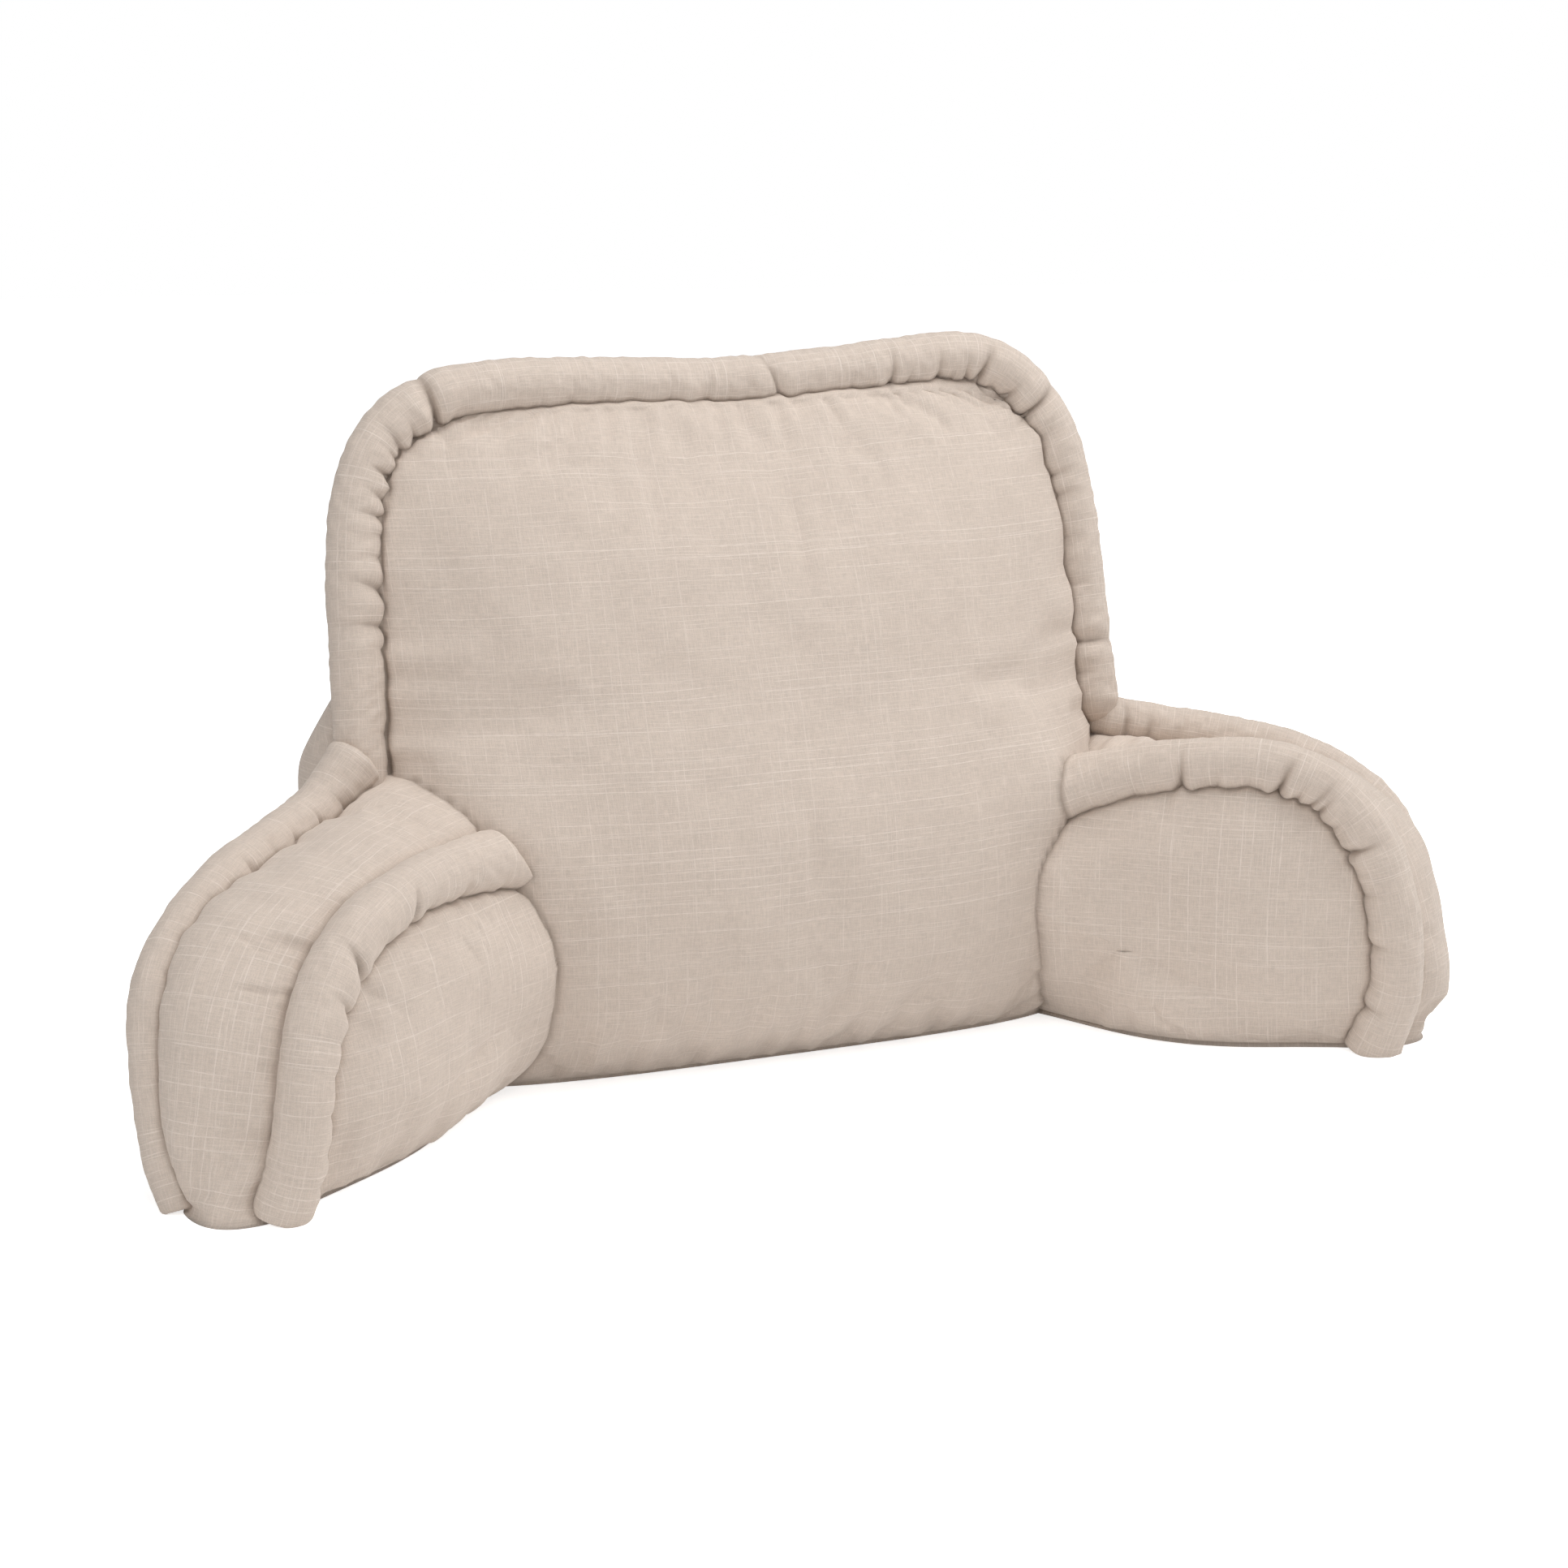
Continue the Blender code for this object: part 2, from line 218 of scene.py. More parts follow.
    slubs = 0.0
    for count, yarn in enumerate(SLUB_YARNS):
        weft = combine("MULTIPLY", slub_yarns(sideways, upward, 11.0 + 20 * count, *yarn), weft_slubs)
        warp_yarn = (*yarn[:4], yarn[4] + WARP_BREAKS_MORE)
        warp = combine("MULTIPLY", slub_yarns(upward, sideways, 83.0 + 20 * count, *warp_yarn), warp_slubs)
        slubs = combine("MAXIMUM", slubs, combine("MAXIMUM", weft, warp))

    weft_grain = noise(scaled(sideways, THREAD_KNOBS), scaled(upward, THREADS), 5.0)
    warp_grain = noise(scaled(sideways, THREADS), scaled(upward, THREAD_KNOBS), 9.0)
    fine_grain = noise(scaled(sideways, FINE_GRAIN), scaled(upward, FINE_GRAIN), 3.0, 1.0)
    mottle = noise(scaled(sideways, MOTTLE), scaled(upward, MOTTLE), 7.0, 3.0)
    grain = combine("ADD", combine("MULTIPLY", combine("ADD", weft_grain, warp_grain), 0.34),
                    combine("MULTIPLY", fine_grain, 0.32))
    depth = combine("ADD", combine("MULTIPLY", grain, 0.9), combine("MULTIPLY", mottle, 0.1))

    dark, pale = (tuple(part * tone for part in CLOTH_COLOUR) for tone in GRAIN_TONES)
    colour = tint(sharpen(depth, *GRAIN_RANGE), dark, pale)
    colour = tint(slubs, colour, SLUB_COLOUR)
    # Painted shade: the cloth darkens towards the shadow colour in the piping's creases and along the seams.
    painted_shade = nodes.new("ShaderNodeAttribute")
    painted_shade.attribute_name = "painted_shade"
    colour = tint(painted_shade.outputs["Fac"], colour, SHADOW_COLOUR)
    links.new(colour, shader.inputs["Base Color"])

    weave = nodes.new("ShaderNodeBump")
    weave.inputs["Strength"].default_value = WEAVE_BUMP
    weave.inputs["Distance"].default_value = WEAVE_DEPTH
    links.new(combine("ADD", grain, combine("MULTIPLY", slubs, SLUB_RISE)), weave.inputs["Height"])
    links.new(weave.outputs["Normal"], shader.inputs["Normal"])
    return material


def smooth_rows(rows, count):
    """Rows evenly spaced along a smooth curve through the given rows, whatever their columns are."""
    rows = np.array(rows, float)
    ends = np.vstack([2 * rows[0] - rows[1], rows, 2 * rows[-1] - rows[-2]])
    fine = []
    for before, start, stop, after in zip(ends, ends[1:], ends[2:], ends[3:]):
        for t in np.linspace(0, 1, 16, endpoint=False):
            fine.append(
                0.5 * (2 * start + (stop - before) * t
                       + (2 * before - 5 * start + 4 * stop - after) * t ** 2
                       + (3 * start - before - 3 * stop + after) * t ** 3)
            )
    fine = np.array(fine + [rows[-1]])
    run = np.concatenate([[0], np.cumsum(np.linalg.norm(np.diff(fine, axis=0), axis=1))])
    at = np.linspace(0, run[-1], count)
    return np.column_stack([np.interp(at, run, column) for column in fine.T])


def waves(points, size, seed, terms=14):
    """Soft random unevenness, about -1 to 1, whose bumps are about that size in metres."""
    rng = np.random.default_rng(seed)
    total = np.zeros(points.shape[:-1])
    for _ in range(terms):
        direction = rng.normal(size=points.shape[-1])
        direction *= 2 * math.pi / size * rng.uniform(0.6, 1.5) / np.linalg.norm(direction)
        total += np.cos(points @ direction + rng.uniform(0, 2 * math.pi))
    return total / math.sqrt(terms / 1.4)


def grid_normals(grid, heart):
    """Unit normals, away from the heart, of a grid of points that closes on itself sideways."""
    along = np.gradient(grid, axis=0)
    around = (np.roll(grid, -1, axis=1) - np.roll(grid, 1, axis=1)) / 2
    normals = np.cross(around, along)
    normals /= np.maximum(np.linalg.norm(normals, axis=-1, keepdims=True), 1e-12)
    return normals * np.sign((normals * (grid - heart)).sum(-1).mean())


def grid_faces(rows, columns):
    """The quads of a grid that closes on itself sideways."""
    quads = []
    for row in range(rows - 1):
        low, high = row * columns, (row + 1) * columns
        for column in range(columns):
            beside = (column + 1) % columns
            quads.append((low + column, low + beside, high + beside, high + column))
    return quads


def soften(field, cells):
    """A grid of values, closed sideways, blurred over that many cells."""
    reach = 3 * cells
    weights = np.exp(-0.5 * (np.arange(-reach, reach + 1) / cells) ** 2)
    weights /= weights.sum()
    upright = np.pad(field, ((reach, reach), (0, 0), (0, 0)), mode="edge")
    field = sum(w * upright[k:k + len(field)] for k, w in enumerate(weights))
    return sum(w * np.roll(field, k - reach, axis=1) for k, w in enumerate(weights))


def plump(grid, held, slack):
    """Fills the piece: simulates its cloth, cut a little too big and blown up while its seams are held, and
    returns the grid with the folds that this makes. held is True on a seam, and slack is the share of the folds
    that each point keeps."""
    rows, columns = grid.shape[:2]
    picked_rows = np.linspace(0, rows - 1, rows // CLOTH_SKIP)
    picked_rows = np.unique(picked_rows.round().astype(int))
    picked_columns = np.linspace(0, columns, columns // CLOTH_SKIP, endpoint=False)
    picked_columns = np.unique(picked_columns.round().astype(int))
    coarse = grid[np.ix_(picked_rows, picked_columns)]
    fixed = held[np.ix_(picked_rows, picked_columns)]
    high, wide = coarse.shape[:2]
    faces = grid_faces(high, wide)
    faces += [tuple(range(wide))[::-1], tuple(range((high - 1) * wide, high * wide))]
    mesh = bpy.data.meshes.new("filling")
    mesh.from_pydata(coarse.reshape(-1, 3).tolist(), [], faces)
    work = bmesh.new()
    work.from_mesh(mesh)
    bmesh.ops.recalc_face_normals(work, faces=work.faces[:])
    work.to_mesh(mesh)
    work.free()
    bag = bpy.data.objects.new("filling", mesh)
    scene.collection.objects.link(bag)
    bag.vertex_groups.new(name="seams").add(np.flatnonzero(fixed.ravel()).tolist(), 1.0, "REPLACE")
    cloth = bag.modifiers.new("filling", "CLOTH")
    cloth.settings.vertex_group_mass = "seams"
    cloth.settings.shrink_min = -CLOTH_EXCESS
    cloth.settings.use_pressure = True
    cloth.settings.uniform_pressure_force = CLOTH_PRESSURE
    cloth.settings.bending_stiffness = CLOTH_STIFFNESS
    cloth.settings.air_damping = CLOTH_DAMPING
    cloth.settings.quality = CLOTH_QUALITY
    cloth.settings.effector_weights.gravity = 0
    cloth.collision_settings.use_collision = False
    cloth.point_cache.frame_end = CLOTH_FRAMES
    for step in range(1, CLOTH_FRAMES + 1):
        scene.frame_set(step)
    filled = bag.evaluated_get(bpy.context.evaluated_depsgraph_get())
    after = np.empty(high * wide * 3)
    filled.data.vertices.foreach_get("co", after)
    moved = after.reshape(high, wide, 3) - coarse
    bpy.data.objects.remove(bag)
    scene.frame_set(1)
    folds = moved - soften(moved, FOLD_CELLS)
    folds *= (~fixed)[..., None]
    size = np.linalg.norm(folds, axis=-1, keepdims=True)
    folds *= np.minimum(1, FOLD_LIMIT / np.maximum(size, 1e-9))
    across = np.concatenate([folds, folds[:, :1]], axis=1)
    places = np.append(picked_columns, columns)
    fine = []
    for part in np.moveaxis(across, -1, 0):
        wide_rows = np.array([np.interp(np.arange(columns), places, row) for row in part])
        fine.append(np.column_stack([np.interp(np.arange(rows), picked_rows, column) for column in wide_rows.T]))
    return grid + np.stack(fine, axis=-1) * slack[..., None]


def cloth_piece(name, points, faces, face_uvs, painted_shades, material, node, sharp=()):
    """A filled cloth piece: its mesh with a UV map in metres of cloth, declared to the frame."""
    mesh = bpy.data.meshes.new(name)
    mesh.from_pydata(points.tolist(), [], faces)
    layer = mesh.uv_layers.new(name="cloth")
    layer.data.foreach_set("uv", np.concatenate([np.asarray(uv, float).ravel() for uv in face_uvs]))
    attribute = mesh.attributes.new("painted_shade", "FLOAT", "POINT")
    attribute.data.foreach_set("value", np.asarray(painted_shades, float))
    mesh.shade_smooth()
    mesh.materials.append(material)
    work = bmesh.new()
    work.from_mesh(mesh)
    work.faces.ensure_lookup_table()
    for index in sharp:
        for edge in work.faces[index].edges:
            edge.smooth = False
    bmesh.ops.recalc_face_normals(work, faces=work.faces[:])
    work.to_mesh(mesh)
    work.free()
    piece = bpy.data.objects.new(name, mesh)
    scene.collection.objects.link(piece)
    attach(piece, "root")
    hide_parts(node)
    return piece


levels = smooth_rows(BACK_LEVELS, BACK_ROWS)
angles = np.concatenate([
    np.linspace(0, math.pi, FRONT_COLUMNS, endpoint=False),
    np.linspace(math.pi, 2 * math.pi, REAR_COLUMNS, endpoint=False),
])
cos, sin = np.cos(angles)[None, :], np.sin(angles)[None, :]
height, left, right, edge, front, rear, spread, roundness, flatness = (column[:, None] for column in levels.T)
swell = (1 - np.abs(cos) ** flatness) ** roundness
half_width = np.where(cos > 0, right, left) - np.where(sin < 0, spread * sin, 0)
depth = np.where(sin > 0, edge - front * swell, edge + rear * swell)
x = half_width * cos
z = height + np.where(x > 0, TOP_RISE[1], TOP_RISE[0]) * (height / BACK_HEIGHT) ** 4 * x
back_grid = np.stack([x, BASE_FRONT + depth, z], axis=-1)
side_seams = np.broadcast_to(np.abs(sin) < SEAM_HALF_ANGLE, x.shape)
floor_or_top = (height < BASE_HEM_TOP) | (height > TOP_HEM_FOOT) | np.zeros_like(side_seams)
back_grid = plump(back_grid, side_seams | floor_or_top, np.ones(x.shape))

normals = grid_normals(back_grid, back_grid.mean(axis=(0, 1)))
on_front = np.clip(sin * 4, 0, 1) * np.ones_like(x)
rise = sum(tall * waves(back_grid, size, seed) for tall, size, seed in BACK_WAVES)
rise *= np.clip(z / FLAT_BELOW, 0.15, 1)
rise -= HEM_TUCK * np.clip(1 - z / HEM_HEIGHT, 0, 1) ** 2
back_grid = back_grid + normals * rise[..., None]
for at_x, at_z, forward, radius in ARM_SEAM_PULLS:
    back_grid[..., 1] -= forward * on_front * np.exp(-((x - at_x) ** 2 + (z - at_z) ** 2) / radius ** 2)
back_grid[0, :, 2] = 0.0

columns = FRONT_COLUMNS + REAR_COLUMNS
middle = FRONT_COLUMNS // 2
steps = np.linalg.norm(np.diff(back_grid, axis=1, append=back_grid[:, :1]), axis=-1)
across_cloth = np.cumsum(steps, axis=1) - steps
across_cloth = across_cloth - across_cloth[:, middle:middle + 1]
up_cloth = np.concatenate([[0], np.cumsum(np.linalg.norm(np.diff(back_grid[:, middle], axis=0), axis=1))])
cloth_uv = np.stack([-across_cloth, np.broadcast_to(up_cloth[:, None], across_cloth.shape)], axis=-1)
closing_uv = cloth_uv[:, :1] - np.stack([steps.sum(axis=1)[:, None], 0 * steps[:, :1]], axis=-1)
cloth_uv = np.concatenate([cloth_uv, closing_uv], axis=1)


def grid_uvs(uv):
    """The UVs of a closed grid's quads, from a grid of UVs with one column more."""
    corners = np.stack([uv[:-1, :-1], uv[:-1, 1:], uv[1:, 1:], uv[1:, :-1]], axis=2)
    return [corners.reshape(-1, 4, 2)]


back_faces = grid_faces(BACK_ROWS, columns)
base_face = tuple(range(columns))
top_face = tuple(range((BACK_ROWS - 1) * columns, BACK_ROWS * columns))
back_points = back_grid.reshape(-1, 3)
back_uvs = grid_uvs(cloth_uv) + [back_points[list(base_face), :2], back_points[list(top_face), :2]]
back = cloth_piece(
    "back_cushion", back_points, back_faces + [base_face, top_face], back_uvs, np.zeros(len(back_points)),
    linen("back_linen", 0.75, 0.48, 1), "back", sharp=(len(back_faces), len(back_faces) + 1),
)


# The back's piping.
# A strip of the same linen wrapped round a fat soft cord and caught in the seam between the panels. It is gathered
# round the corners, so the stitching nips it into creases that run out from the seam and fade over the outside.

PIPING_RADIUS = 0.016
PIPING_SIDES = 56
PIPING_STEP = 0.0009
PATH_POINTS = 600
CREASE_DEPTH = 1.25
# CREASE_SHADE is how dark the painted shade in the deepest creases is.
CREASE_SHADE = 0.85
DEEPEST_CREASE = 0.0045
CREASE_FADE = 3.2
CREASE_WIDENS = 0.35
CREASE_SIDES = (0.55, 1.5)  # the steep and the gentle side
CREASE_SHOULDER = (0.30, 2.6, 1.6)  # height, place, width
FAR_SIDE_SMOOTH = 0.75
PIPING_SWELL = 1.02
PIPING_WAVES = ((0.026, 0.070), (0.012, 0.030))  # share of the radius, size
PIPING_WRINKLES = (0.00022, 0.010)  # height, size
END_HEM = (0.88, 0.004, 0.5)  # share, run, roundness
BACK_PIPING = (
    # x, behind_front_edge, height
    (-0.263, 0.032, 0.178),
    (-0.262, 0.036, 0.196),
    (-0.259, 0.046, 0.250),
    (-0.257, 0.056, 0.310),
    (-0.251, 0.064, 0.358),
    (-0.236, 0.070, 0.393),
    (-0.206, 0.074, 0.416),
    (-0.165, 0.076, 0.424),
    (-0.100, 0.077, 0.425),
    (-0.030, 0.077, 0.423),
    (0.030, 0.077, 0.425),
    (0.100, 0.077, 0.431),
    (0.150, 0.077, 0.436),
    (0.183, 0.075, 0.432),
    (0.208, 0.072, 0.414),
    (0.226, 0.067, 0.386),
    (0.238, 0.060, 0.341),
    (0.243, 0.052, 0.288),
    (0.245, 0.044, 0.243),
    (0.2472, 0.0335, 0.1915),
)
BACK_CREASES = (
    # at, slant, depth, width, reach
    (0.045, 0.002, 0.0012, 0.0040, 0.6),
    (0.095, 0.003, 0.0014, 0.0035, 0.6),
    (0.109, 0.003, 0.0026, 0.0030, 1.1),
    (0.130, 0.011, 0.0030, 0.0030, 0.8),
    (0.150, 0.004, 0.0018, 0.0035, 0.6),
    (0.164, 0.003, 0.0016, 0.0035, 0.6),
    (0.176, 0.003, 0.0036, 0.0025, 0.7),
    (0.186, 0.011, 0.0030, 0.0030, 0.7),
    (0.204, 0.003, 0.0042, 0.0025, 0.7),
    (0.218, 0.003, 0.0024, 0.0030, 0.7),
    (0.226, 0.006, 0.0034, 0.0030, 0.8),
    (0.241, 0.002, 0.0026, 0.0030, 0.6),
    (0.262, 0.002, 0.0052, 0.0024, 1.5),
    (0.314, -0.003, 0.0006, 0.0040, 0.6),
    (0.355, -0.001, 0.0013, 0.0040, 0.8),
    (0.373, -0.001, 0.0010, 0.0035, 0.7),
    (0.395, -0.002, 0.0006, 0.0040, 0.6),
    (0.420, -0.002, 0.0015, 0.0035, 0.9),
    (0.446, 0.002, 0.0017, 0.0035, 0.9),
    (0.460, -0.002, 0.0007, 0.0040, 0.6),
    (0.498, -0.015, 0.0032, 0.0024, 1.4),
    (0.512, 0.006, 0.0008, 0.0030, 0.5),
    (0.545, 0.004, 0.0007, 0.0040, 0.7),
    (0.574, 0.003, 0.0036, 0.0026, 0.9),
    (0.584, 0.010, 0.0022, 0.0030, 0.6),
    (0.610, -0.001, 0.0028, 0.0030, 0.8),
    (0.620, 0.006, 0.0020, 0.0030, 0.5),
    (0.633, -0.007, 0.0030, 0.0030, 0.6),
    (0.643, 0.006, 0.0044, 0.0026, 0.9),
    (0.675, 0.001, 0.0030, 0.0028, 0.5),
    (0.696, -0.004, 0.0052, 0.0026, 1.1),
    (0.717, -0.002, 0.0016, 0.0035, 0.6),
    (0.746, -0.006, 0.0026, 0.0028, 0.6),
    (0.759, -0.002, 0.0020, 0.0035, 0.7),
    (0.789, -0.001, 0.0014, 0.0040, 0.7),
    (0.821, 0.001, 0.0014, 0.0040, 0.7),
    (0.860, 0.001, 0.0036, 0.0026, 1.2),
    (0.881, 0.002, 0.0016, 0.0040, 0.7),
)


def stuffed_tube(name, path, radius, heart, creases, seed, node, ends, cut=(0, 0, 0), face=0):
    """A stuffed piping along path. Its seam faces the heart, a point within the piece that it edges, and each
    crease starts at the seam. Each end narrows or widens to a share of the radius over a length, round where the
    third number is a half and pointed where it is one; cut slants the first end. face is the side, 1 or -1, that
    keeps the creases, or 0 where both do. Returns the piece and the places where its creases pull at the seam."""
    rough = smooth_rows(path, PATH_POINTS)
    length = float(np.linalg.norm(np.diff(rough, axis=0), axis=1).sum())
    known = np.linspace(0, length, len(rough))
    forward = np.gradient(rough, axis=0)
    forward /= np.linalg.norm(forward, axis=1, keepdims=True)
    to_heart = np.asarray(heart) - rough
    seamward = to_heart - (to_heart * forward).sum(1, keepdims=True) * forward
    seamward /= np.linalg.norm(seamward, axis=1, keepdims=True)
    sideways = np.cross(forward, seamward)
    rows = round(length / PIPING_STEP)
    t = np.linspace(0, 2 * math.pi, PIPING_SIDES, endpoint=False)[None, :]
    from_seam = np.abs((t + math.pi) % (2 * math.pi) - math.pi)
    start = cut[0] + cut[1] * np.cos(t) + cut[2] * np.sin(t)
    s = start + (length - start) * np.linspace(0, 1, rows)[:, None]

    def along_path(frames, places=s):
        return np.stack([np.interp(places, known, column) for column in frames.T], axis=-1)

    skin = np.stack([s, radius * np.cos(t) + 0 * s, radius * np.sin(t) + 0 * s], axis=-1)
    (fat, fat_size), (uneven, uneven_size) = PIPING_WAVES
    wrinkle, wrinkle_size = PIPING_WRINKLES
    swollen = PIPING_SWELL + fat * waves(skin[:, :1], fat_size, seed) + uneven * waves(skin, uneven_size, seed + 1)
    swollen = radius * swollen + wrinkle * waves(skin, wrinkle_size, seed + 2)
    painted_shade = np.zeros_like(swollen)
    crease_side = 1 - abs(face) * FAR_SIDE_SMOOTH * np.clip(0.5 - 1.5 * face * np.sin(t), 0, 1)
    raised, shoulder_place, shoulder_width = CREASE_SHOULDER
    for at, slant, deep, width, reach in creases:
        off = (s - at - slant * from_seam / math.pi) / (width * (1 + CREASE_WIDENS * from_seam))
        strength = np.exp(-((from_seam / (2 * reach)) ** CREASE_FADE)) * crease_side
        steep = np.where(off * (1 if slant >= 0 else -1) > 0, *CREASE_SIDES)
        valley = np.exp(-np.abs(off) / steep)
        shoulder = np.exp(-(((np.abs(off) - shoulder_place) / shoulder_width) ** 2))
        swollen = swollen + CREASE_DEPTH * deep * strength * (raised * shoulder - valley)
        # Painted shade in each crease's valley, darkest for the deepest creases.
        dark = CREASE_SHADE * min(1.0, (deep / DEEPEST_CREASE) ** 1.5)
        painted_shade = np.maximum(painted_shade, dark * strength * np.exp(-((off / 0.6) ** 2)))
    from_start, from_stop = s - start, length - s
    nearer = np.minimum(from_start, from_stop)
    for (share, run, roundness), away in ((ends[0], from_start), (ends[1], from_stop), (END_HEM, nearer)):
        inward = np.clip(1 - away / run, 0, 1)
        swollen = swollen * (share + (1 - share) * (1 - inward ** 2) ** roundness)
    grid = (along_path(rough) + along_path(seamward) * (swollen * np.cos(t))[..., None]
            + along_path(sideways) * (swollen * np.sin(t))[..., None])
    grid[..., 2] = np.maximum(grid[..., 2], 0)
    uv_turn = np.linspace(0, 2 * math.pi, PIPING_SIDES + 1)[None, :] * radius
    uv = np.stack(np.broadcast_arrays(np.concatenate([s, s[:, :1]], axis=1), uv_turn), -1)
    points = grid.reshape(-1, 3)
    faces = grid_faces(rows, PIPING_SIDES)
    caps = [tuple(range(PIPING_SIDES)), tuple(range((rows - 1) * PIPING_SIDES, rows * PIPING_SIDES))]
    uvs = grid_uvs(uv) + [points[list(cap)][:, :2] for cap in caps]
    piece = cloth_piece(
        name, points, faces + caps, uvs, painted_shade.ravel(), piping_linen, node,
        sharp=(len(faces), len(faces) + 1),
    )
    pulls = []
    for at, _, deep, _, _ in creases:
        place, inward = along_path(rough, at), along_path(seamward, at)
        pulls.append((place + inward * radius * 0.6, inward, deep))
    return piece, pulls


piping_linen = linen("piping_linen", 0.66, 0.80, 5)
back_line = [(x, BASE_FRONT + behind, height) for x, behind, height in BACK_PIPING]
back_piping, back_pulls = stuffed_tube(
    "piping_round_back", back_line, PIPING_RADIUS, (0.0, -0.02, 0.24), BACK_CREASES, 21, "back_piping",
    ends=((1.00, 0.010, 0.5), (0.06, 0.018, 0.7)),
)


# The arms.
# Each arm is an inner panel, an arched gusset over the top and front, and an outer panel, sewn along two pipings,
# filled, and sewn to the back's side. They splay outward, and the right one was stuffed a little higher.

ARM_SPLAY = math.radians(47)
ARM_ROOT_X = 0.190
ARM_SIZE = 0.200
LEFT_ARM = (
    # inner_reach, inner_height, inner_out, outer_reach, outer_height, outer_out
    (-0.100, 0.130, -0.030, -0.060, 0.196, 0.076),
    (-0.050, 0.144, -0.026, -0.020, 0.200, 0.077),
    (0.000, 0.150, -0.018, 0.028, 0.198, 0.079),
    (0.045, 0.154, -0.012, 0.064, 0.184, 0.084),
    (0.100, 0.157, -0.010, 0.110, 0.171, 0.087),
    (0.150, 0.150, -0.008, 0.160, 0.159, 0.088),
    (0.188, 0.134, -0.006, 0.198, 0.141, 0.089),
    (0.213, 0.108, -0.006, 0.224, 0.113, 0.088),
    (0.227, 0.074, -0.006, 0.235, 0.078, 0.084),
    (0.234, 0.036, -0.004, 0.240, 0.040, 0.076),
    (0.242, 0.000, 0.004, 0.250, 0.000, 0.060),
)
RIGHT_ARM = (
    # inner_reach, inner_height, inner_out, outer_reach, outer_height, outer_out
    (-0.100, 0.128, -0.030, -0.060, 0.192, 0.075),
    (-0.050, 0.146, -0.026, -0.020, 0.195, 0.076),
    (0.000, 0.157, -0.018, 0.028, 0.193, 0.078),
    (0.050, 0.173, -0.012, 0.060, 0.188, 0.086),
    (0.100, 0.183, -0.010, 0.104, 0.182, 0.091),
    (0.150, 0.184, -0.008, 0.150, 0.172, 0.093),
    (0.186, 0.170, -0.006, 0.186, 0.155, 0.093),
    (0.212, 0.140, -0.006, 0.211, 0.131, 0.092),
    (0.227, 0.098, -0.006, 0.224, 0.096, 0.090),
    (0.231, 0.048, -0.002, 0.231, 0.046, 0.083),
    (0.217, 0.000, 0.004, 0.226, 0.000, 0.070),
)
ARM_SLACK = 0.75
ROOT_STIFF = 0.010
ROOT_FADE = 0.050
MIDDLE_TAUT = 0.25
MIDDLE_FADE = 0.35
ON_FLOOR = 0.004
FIRST_RING = 0.03
SEAM_RISE = 0.020
ARCH_POINTS = 230
FLOOR_POINTS = 90
ROOT_POINTS = 50
PANEL_RINGS = 60
GUSSET_ROWS = 46
PANEL_FULLNESS = 3
SEAM_UNDER = {
    # along, under
    "inner": ((0.00, 0.003), (0.25, 0.003), (0.40, 0.001)),
    "outer": ((0.00, 0.006), (0.16, 0.006), (0.27, 0.000)),
}
GUSSET_CROWN = {
    "left": (
        # along, crown, lean
        (0.00, 0.040, 0.55), (0.13, 0.032, 0.55), (0.22, 0.020, 0.75), (0.30, 0.020, 1.30), (0.40, 0.023, 1.30),
        (0.44, 0.018, 0.75),
    ),
    "right": (
        (0.00, 0.004, 1.00), (0.20, 0.006, 1.00), (0.30, 0.012, 1.00), (0.34, 0.015, 1.00), (0.39, 0.021, 1.00),
        (0.45, 0.027, 1.00), (0.48, 0.0215, 1.00),
    ),
}
GUSSET_SEAMS = {
    "left": (
        # along, at_inner_piping, at_outer_piping
        (0.00, 0.50, 1.00), (0.20, 0.50, 1.00), (0.28, 1.00, 0.90), (0.34, 1.00, 0.60), (0.43, 0.80, 0.15),
    ),
    "right": ((0.00, 0.20, 0.90), (0.18, 0.20, 0.60), (0.30, 0.15, 0.20), (0.39, 0.15, 0.20), (0.41, 1.00, 0.20)),
}
INNER_MIDDLE = np.array((0.060, 0.065))
OUTER_MIDDLE = np.array((0.070, 0.070))
GUSSET_DENTS = {
    "left": (
        # along, across, depth, width
        (0.110, 0.95, 0.0022, 0.008), (0.135, 0.97, 0.0030, 0.006), (0.160, 0.95, 0.0024, 0.008),
        (0.205, 0.96, 0.0034, 0.009), (0.240, 0.96, 0.0034, 0.008), (0.262, 0.96, 0.0022, 0.006),
        (0.292, 0.96, 0.0024, 0.007), (0.330, 0.96, 0.0016, 0.008), (0.225, 0.05, 0.0014, 0.007),
        (0.268, 0.04, 0.0038, 0.009), (0.300, 0.04, 0.0034, 0.009), (0.332, 0.04, 0.0028, 0.007),
        (0.368, 0.04, 0.0016, 0.007), (0.400, 0.05, 0.0018, 0.007),
    ),
    "right": (
        (0.112, 0.60, 0.0018, 0.008), (0.136, 0.60, 0.0020, 0.009), (0.164, 0.65, 0.0014, 0.010),
        (0.410, 0.10, 0.0014, 0.006), (0.440, 0.10, 0.0020, 0.006),
    ),
}
FLOOR_SHOWN = 0.76
FLOOR_BULGE = {"left": 0.018, "right": 0.036}
INNER_FLOOR_OUT = {"left": (0.008, 0.019), "right": (0.010, 0.026)}  # near the foot and at the root
INNER_SWELLS = {
    "left": (
        # reach, height, fuller, radius
        (0.005, 0.030, 0.0065, 0.030), (-0.003, 0.058, 0.005, 0.024), (-0.005, 0.092, -0.005, 0.026),
    ),
    "right": ((0.000, 0.050, 0.002, 0.030),),
}
INNER_FULLNESS = 0.037
OUTER_FULLNESS = 0.024
OUTER_FLOOR_OUT = (0.060, 0.068)
OUTER_PANEL_OUT = 0.082
GUSSET_WIDTH = 0.085
GUSSET_ROUNDNESS = 0.8
DENT_LENGTH = 1.9
DENT_RIDGE = 0.25
DENT_RIDGE_PLACE = 1.7
ARM_WAVES = (
    # height, size
    (0.0012, 0.090),
    (0.0004, 0.030),
)


